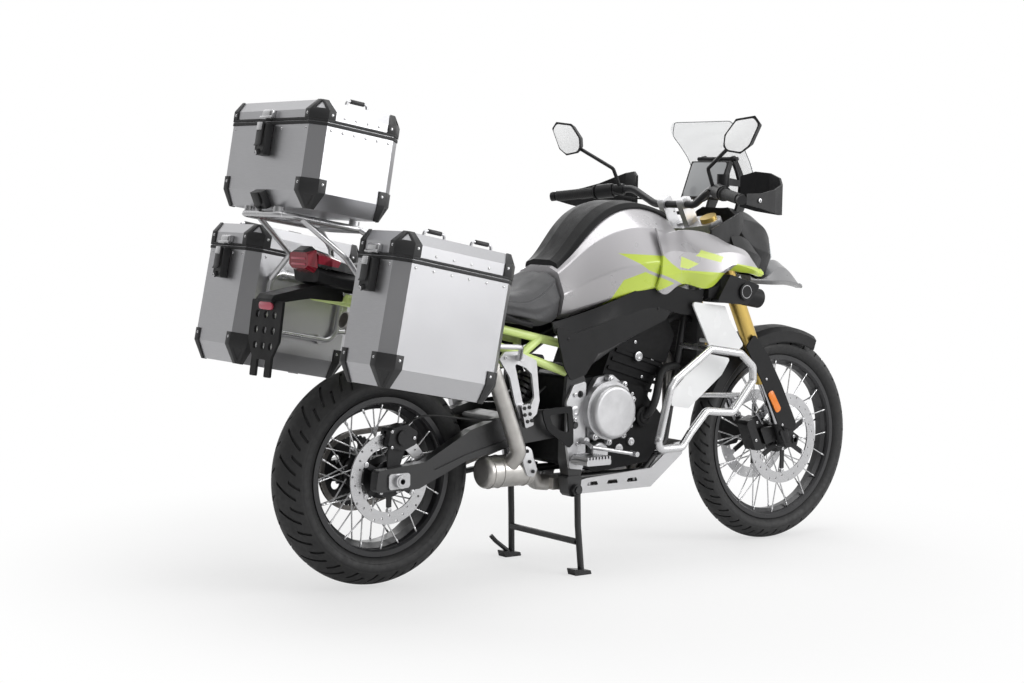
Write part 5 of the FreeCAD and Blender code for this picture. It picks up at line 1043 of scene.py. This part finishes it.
def seam(pad, points, depth, width):
    """Draws the cover in along a line, and gives the line's places on the cover with their normals."""
    skin = surface(pad)
    line = [skin.find_nearest(spot)[:2] for spot in along(points)]
    tree = KDTree(len(line))
    for k, row in enumerate(line):
        tree.insert(row[0], k)
    tree.balance()
    for vertex in pad.data.vertices:
        away = tree.find(vertex.co)[2]
        if away < width * 2:
            vertex.co -= vertex.normal * depth * exp(-(away / width) ** 2 * 2.5)
    return line


def stitches(pad, line, aside, skip=3):
    """Short threads beside a seam, one at every third place along it."""
    model = primitive("uv_sphere", segments=6, ring_count=5, radius=0.0006)
    moved(model, Matrix.Scale(3.6, 4, (0, 0, 1)))
    places = []
    skin = surface(pad)
    for k in range(skip, len(line) - skip, skip):
        ahead = (line[k + 1][0] - line[k - 1][0]).normalized()
        across = ahead.cross(line[k][1]).normalized()
        spot, normal = skin.find_nearest(line[k][0] + across * aside)[:2]
        places.append(facing(spot + normal * 0.0002, ahead))
    return copied(model, places)


def seats():
    LOOKS["seat_skin"] = (seat_skin(), "seat_cover")
    for name in ("rider", "passenger"):
        pad = puffed(name + "_seat")
        threads = []
        for side in (-1, 1):
            points = [Vector((x + AXLE_BACK, y * side, z)) for x, y, z in SEAMS[name]]
            line = seam(pad, points, 0.003, 0.0045)
            threads += [stitches(pad, line, way * side * THREAD_ASIDE) for way in (-1, 1)]
        x, z = CROSS_SEAMS[name]
        points = [Vector((x + AXLE_BACK, y, z)) for y in (-0.13, -0.06, 0.0, 0.06, 0.13)]
        threads.append(stitches(pad, seam(pad, points, 0.0026, 0.0042), THREAD_ASIDE))
        settled(name + "_cover", pad, "seat_skin", "chassis", 80)
        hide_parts(name + "_seat")
        settled(name + "_threads", joined(threads), "seat_thread", "chassis", 60)


# ---- small fittings
SINK = 0.0003                   # how deep a small piece stands in the face below it
OUTSIDE = 700                   # mm from the middle, further out than any node
FLAT = 0.7                      # least cosine between the cross axis and a face that can carry a piece
# Bolts landed on both sides of each node (the caliper has one side): x, z, head radius, head height, in mm.
FRAME_BOLTS = {
    "footrest_brackets": ((619, 550, 6.5, 5.5), (621, 474, 6.5, 5.5), (631, 400, 6.5, 5.5),
                          (352, 672, 5.5, 4.5), (426, 500, 5.5, 4.5)),
    "engine": ((862, 540, 6, 5), (860, 440, 6, 5), (700, 370, 5, 4), (790, 366, 5, 4), (914, 590, 5, 4),
               (884, 700, 5, 4), (960, 640, 5, 4), (720, 585, 5, 4)),
    "rear_caliper": ((64, 448, 5, 4.5), (-12, 470, 4.4, 4), (-12, 425, 4.4, 4)),
    "swingarm": ((610, 470, 9, 6),),
}
PANEL_SCREWS = {"side_panels": ((575, 722, 4, 2.4), (930, 806, 4, 2.4))}
STEERING_BOLTS = {
    "fork_feet": ((1600, 360, 5.5, 5),),
    "front_mudguard": ((1452, 560, 4, 2.8), (1532, 404, 4, 2.8)),
    "front_calipers": ((1470, 410, 5, 4.5), (1452, 352, 5, 4.5)),
    "handguards": ((1080, 1146, 6.5, 5),),
    "yokes": ((1180, 1120, 4, 3.5),),
}
# Round covers: name, node, side (+1 left), x, z, radius, height, raised step, finish.
CAPS = (
    ("pump_cover", "engine", -1, 905, 468, 33, 16, 4.0, "engine_black"),
    ("frame_plug", "engine", -1, 896, 655, 15, 8, 2.0, "steel"),
    ("sensor_plug", "engine", -1, 858, 392, 12, 9, 2.0, "cast_silver"),
    ("oil_window", "engine", -1, 812, 372, 15, 5, 1.0, "cast_silver"),
    ("starter_cover", "engine", 1, 906, 500, 30, 16, 4.0, "engine_black"),
    ("pivot_cap_right", "footrest_brackets", -1, 619, 500, 17, 5, 1.2, "steel"),
    ("pivot_cap_left", "footrest_brackets", 1, 619, 500, 17, 5, 1.2, "steel"),
)
PEG_STUDS = ((412, 522), (430, 524), (414, 502), (433, 504), (424, 482), (440, 484))
MIRROR_FACE = ((-76, 0), (-27, 48), (56, 56), (78, 34), (36, -36), (-4, -58), (-66, -50), (-80, -34))
REAR_REFLECTOR = ((0.026, -0.011), (0.034, -0.008), (0.037, 0.0), (0.034, 0.008), (0.026, 0.011))
# Hoses and lines: name, body, radius in mm, then points in mm ahead of the rear axle, to the left and up.
HOSES = (
    ("pump_hose", "chassis", 12.5, (
        (908, -158, 470), (912, -178, 478), (930, -184, 512), (948, -176, 560), (966, -160, 600),
        (1010, -138, 622), (1078, -120, 616))),
    ("rear_brake_hose", "chassis", 3.2, (
        (40, -118, 484), (66, -126, 512), (140, -136, 514), (240, -141, 492), (330, -141, 486),
        (410, -136, 492), (480, -122, 530), (560, -100, 572))),
    ("brake_reservoir_hose", "chassis", 4.0, (
        (640, -150, 470), (628, -158, 505), (632, -160, 548), (640, -152, 590))),
    ("clutch_cable", "steering", 3.0, (
        (1088, 236, 1166), (1110, 210, 1150), (1140, 150, 1146), (1165, 90, 1142), (1180, 50, 1128),
        (1186, 34, 1104))),
    ("throttle_cable", "steering", 3.0, (
        (1088, -236, 1166), (1110, -208, 1148), (1140, -150, 1140), (1165, -92, 1136), (1180, -52, 1124),
        (1186, -36, 1104))),
    ("front_brake_hose", "steering", 3.6, (
        (1092, -228, 1176), (1118, -196, 1172), (1146, -140, 1160), (1170, -84, 1150), (1186, -46, 1132),
        (1190, -24, 1104))),
    ("radiator_hose_right", "chassis", 13.0, (
        (1110, -96, 770), (1078, -112, 782), (1034, -118, 770), (1002, -108, 740), (984, -92, 712))),
    ("radiator_hose_left", "chassis", 13.0, (
        (1100, 100, 590), (1064, 116, 586), (1010, 122, 560), (968, 118, 520), (940, 110, 492))),
)
# Edge of the screen from its foot upwards: x, half width, z in mm; its top bows forward.
SCREEN_EDGE = ((1389, 138, 1151), (1382, 141, 1196), (1362, 143, 1248), (1345, 143, 1280), (1326, 145, 1304),
               (1308, 153, 1330), (1294, 161, 1350), (1290, 162, 1356), (1284, 157, 1370), (1272, 138, 1393),
               (1268, 132, 1399))
# Tail lamp's housing, from the back: x, then the left half of its section as (y, z), in mm.
HOUSING = (
    (-225.5, (40, 947.0), (63, 940.0), (61, 974.0), (36, 990.0)),
    (-180.0, (46, 936.5), (66, 931.0), (64, 962.0), (36, 975.0)),
    (-140.0, (52, 925.5), (68, 923.0), (66, 948.0), (34, 959.0)),
    (-101.5, (56, 914.5), (68, 914.0), (62, 930.0), (30, 940.0)),
)
CHAMBER_Y, CHAMBER_Z, CHAMBER_R = -136, 332, 48     # catalyst chamber's axis and radius, mm
CHAMBER_SIDE = CHAMBER_Y - CHAMBER_R + 3            # the hanger's inner face
LINK_R = 24                     # link pipe's radius, mm
GENERATOR_RING = (800, 440, 74, 8, 20)              # x, z, radius, count, first angle
CLUTCH_RING = (741, 498, 97, 10, 18)
LUG_FOOT, LUG_TOP = -174.4, -192.2
HANGER = ((404, 396), (424, 410), (444, 398), (452, 366), (466, 336), (452, 314), (428, 318), (414, 352))
HANGER_BOLTS = ((424, 394), (434, 362), (447, 332))


def at(x, y, z):
    """Place from millimetres ahead of the rear axle, to the left and up."""
    return Vector((x / 1000 + AXLE_BACK, y / 1000, z / 1000))


def slab(corners, depth, rounding, edge):
    """Flat plate: its face's corners in order, then its depth as a vector."""
    plate = primitive("circle", vertices=len(corners), radius=1.0, fill_type="NGON")
    for vertex, corner in zip(plate.data.vertices, corners):
        vertex.co = corner
    rounded = ("bevel", {"offset": rounding, "segments": 5, "affect": "VERTICES"})
    overall(plate, ALL, rounded, ALL, pulled(*depth), ALL, OUTWARD)
    return bevelled(plate, edge, 2, 50)


def perches(node, sides, x, z, roll=20, sink=SINK):
    """Places on a node's outer faces for a small piece; none where it would miss or meet a steep face."""
    places = []
    for side in sides:
        hit, place, normal = NODES[node].ray_cast(at(x, side * OUTSIDE, z), Vector((0, -side, 0)))[:3]
        if hit and abs(normal.y) > FLAT:
            places.append(facing(place - Vector((0, side * sink, 0)), (0, side, 0), roll))
    return places


def bolted(name, table, look="bright_steel", body="chassis"):
    """One piece of all the bolt heads in a table."""
    heads = []
    for node, rows in table.items():
        sides = (-1,) if node == "rear_caliper" else (-1, 1)
        for x, z, radius, height in rows:
            heads.append(copied(bolt(radius / 1000, height / 1000), perches(node, sides, x, z)))
    settled(name, joined(heads), look, body)


def round_places(x, z, radius, count, first):
    """Evenly spaced (x, z) places on a circle."""
    turns = [radians(first + 360.0 / count * k) for k in range(count)]
    return [(x + radius * cos(turn), z + radius * sin(turn)) for turn in turns]


def cover_bolts():
    """Bolts round the generator cover."""
    places = []
    for x, z in round_places(*GENERATOR_RING):
        places += perches("engine_covers", (1,), x, z)
    settled("generator_cover_bolts", copied(bolt(0.0055, 0.005), places))


def clutch_lugs():
    """Bolt lugs round the edge of the clutch cover."""
    lugs, heads = [], []
    for k, (x, z) in enumerate(round_places(*CLUTCH_RING)):
        if perches("engine_covers", (-1,), x, z):
            lugs.append(facing(at(x, LUG_FOOT, z), (0, -1, 0)))
            heads.append(facing(at(x, LUG_TOP, z), (0, -1, 0), 36 * k))
    settled("clutch_lugs", copied(disc(0.01, 0.018, 24, 0.0016), lugs), "cast_silver")
    settled("clutch_lug_bolts", copied(bolt(0.0056, 0.0052), heads))


def turned_cap(radius, height, step):
    """Round cover with a raised middle, its foot at the origin."""
    cap = disc(radius, height, 48)
    work(cap, looking(0, 0, 1), inset(radius * 0.3), inset(radius * 0.06, step))
    work(cap, looking(0, 0, 1, lambda f: f.center.xy.length < radius * 0.1),
         inset(radius * 0.22), inset(radius * 0.05, -step * 0.7))
    return bevelled(cap, min(0.0012, height * 0.12))


def caps():
    for name, node, side, x, z, radius, height, step, look in CAPS:
        cap = turned_cap(radius / 1000, height / 1000, step / 1000)
        settled(name, moved(cap, perches(node, (side,), x, z, 0)[0]), look)


def mirror_glasses():
    """Glass in each mirror, a thin rim of its housing left round it; its pale, glowing finish is a painted
    reflection.
    """
    panes = []
    for side in (-1, 1):
        corners = [at(1039.6, side * (424 + dy * 0.9), 1343 + dz * 0.885) for dy, dz in MIRROR_FACE]
        panes.append(slab(corners, (-0.0012, 0, 0), 0.008, 0.0004))
    settled("mirror_glasses", joined(panes), "mirror_glass", "steering")


def display_face():
    """Glass of the display, on the housing's face towards the rider."""
    up, out = Vector((0.361, 0, 0.9325)), Vector((-0.9325, 0, 0.361))
    middle = at(1286, 0, 1212) + out * 0.0002
    corners = [middle + up * dz + Vector((0, dy, 0))
               for dy, dz in ((-0.082, -0.06), (0.082, -0.06), (0.082, 0.06), (-0.082, 0.06))]
    settled("display_glass", slab(corners, out * 0.0014, 0.01, 0.0005), "display_glass")


def reflectors():
    """Amber ones on the fork guards, a red one above the plate bracket."""
    lean = Vector((cos(radians(-57)), 0, sin(radians(-57))))
    across = Vector((lean.z, 0, -lean.x))
    ambers = []
    for side in (-1, 1):
        corners = [at(1490, side * 142.2, 484) + lean * a * 0.04 + across * b * 0.0125
                   for a, b in ((-1, -1), (1, -1), (1, 1), (-1, 1))]
        ambers.append(slab(corners, (0, side * 0.0045, 0), 0.009, 0.001))
    settled("fork_reflectors", joined(ambers), "amber_lens", "steering")
    place = NODES["plate_holder"].ray_cast(at(-460, 14, 834), Vector((1, 0, 0)))[1]
    outline = list(REAR_REFLECTOR) + [(-y, z) for y, z in reversed(REAR_REFLECTOR)]
    corners = [Vector((place.x - 0.0002, y, place.z - 0.004 + z)) for y, z in outline]
    settled("rear_reflector", slab(corners, (-0.006, 0, 0.0007), 0.002, 0.001), "red_reflector")


def exhaust_trim():
    """Weld beads and a cast hanger on the catalyst chamber, and the clamp on the link pipe."""
    rings = [hoop(CHAMBER_R / 1000 + 0.0004, 0.0018, (64, 10), at(x, CHAMBER_Y, CHAMBER_Z), (0, pi / 2, 0))
             for x in (318, 352, 446)]
    collar = hoop(LINK_R / 1000 + 0.002, 0.0042, (48, 12), turn=(0, 0, 0))
    rings.append(moved(collar, facing(at(277, -206, 641), (-26, 0, 22))))
    settled("exhaust_beads", joined(rings), "exhaust_steel")
    hanger = slab([at(x, CHAMBER_SIDE, z) for x, z in HANGER], (0, -0.0085, 0), 0.007, 0.0016)
    settled("exhaust_hanger", hanger, "cast_silver")
    heads = [facing(at(x, CHAMBER_SIDE - 8.3, z), (0, -1, 0)) for x, z in HANGER_BOLTS]
    settled("exhaust_hanger_bolts", copied(bolt(0.0056, 0.005), heads), "caliper_black")


def peg_studs():
    """Rubber studs on the folded passenger pegs."""
    spots = []
    for x, z in PEG_STUDS:
        spots += perches("foot_pegs", (-1, 1), x, z, 0, 0)
    settled("peg_studs", copied(disc(0.0056, 0.003, 20, 0.0009), spots), "hose_rubber")


def screen_rim():
    """Thin dark bead round the screen's edge."""
    left = [at(x - 2, y, z) for x, y, z in SCREEN_EDGE]
    top = [at(1266 + 8 * (1 - (y / 132) ** 2), y, 1399.4) for y in (110, 66, 22, -22, -66, -110)]
    right = [at(x - 2, -y, z) for x, y, z in reversed(SCREEN_EDGE)]
    wire_run("screen_rim.001", left + top + right, 0.0013, "screen_edge", "chassis", 2)


def tail_lamp_body():
    """Housing between the seat and the tail lamp, with two bright bars on the lens."""
    rows = [[at(x, y, z) for y, z in half] + [at(x, -y, z) for y, z in reversed(half)]
            for x, *half in HOUSING]
    LOOKS["tail_lamp_skin"] = (tail_lamp_skin(), "red_lens")
    settled("tail_lamp_body", bevelled(draped(rows, True, *FILLED), 0.004, 3, 25), "tail_lamp_skin")
    bars = []
    for z in (946, 962):
        corners = [at(-252.4, y, z + dz) for y, dz in ((-40, -3), (40, -3), (36, 3), (-36, 3))]
        bars.append(slab(corners, (-0.0012, 0, 0), 0.0028, 0.0004))
    settled("tail_lamp_bars", joined(bars), "red_reflector")


def fittings():
    cover_bolts()
    bolted("frame_bolts", FRAME_BOLTS)
    bolted("panel_screws", PANEL_SCREWS, "caliper_black")
    bolted("steering_bolts", STEERING_BOLTS, body="steering")
    mirror_glasses()
    display_face()
    reflectors()
    for name, body, radius, points in HOSES:
        wire_run(name + ".001", [at(*point) for point in points], radius / 1000, "hose_rubber", body, 3)
    caps()
    clutch_lugs()
    exhaust_trim()
    peg_studs()
    screen_rim()
    tail_lamp_body()
    rings = [hoop(0.02, 0.0013, (56, 10), at(1244, side * 254.0, 857)) for side in (-1, 1)]
    settled("lamp_cover_rings", joined(rings))
    for name, case in CASES.items():
        case_extras(name, case)


coat_nodes()
room()
ground()
camera()
for name, case in CASES.items():
    case_fittings(name, case)
wheel_fittings()
seats()
fittings()
bpy.context.scene.view_settings.view_transform = "Standard"
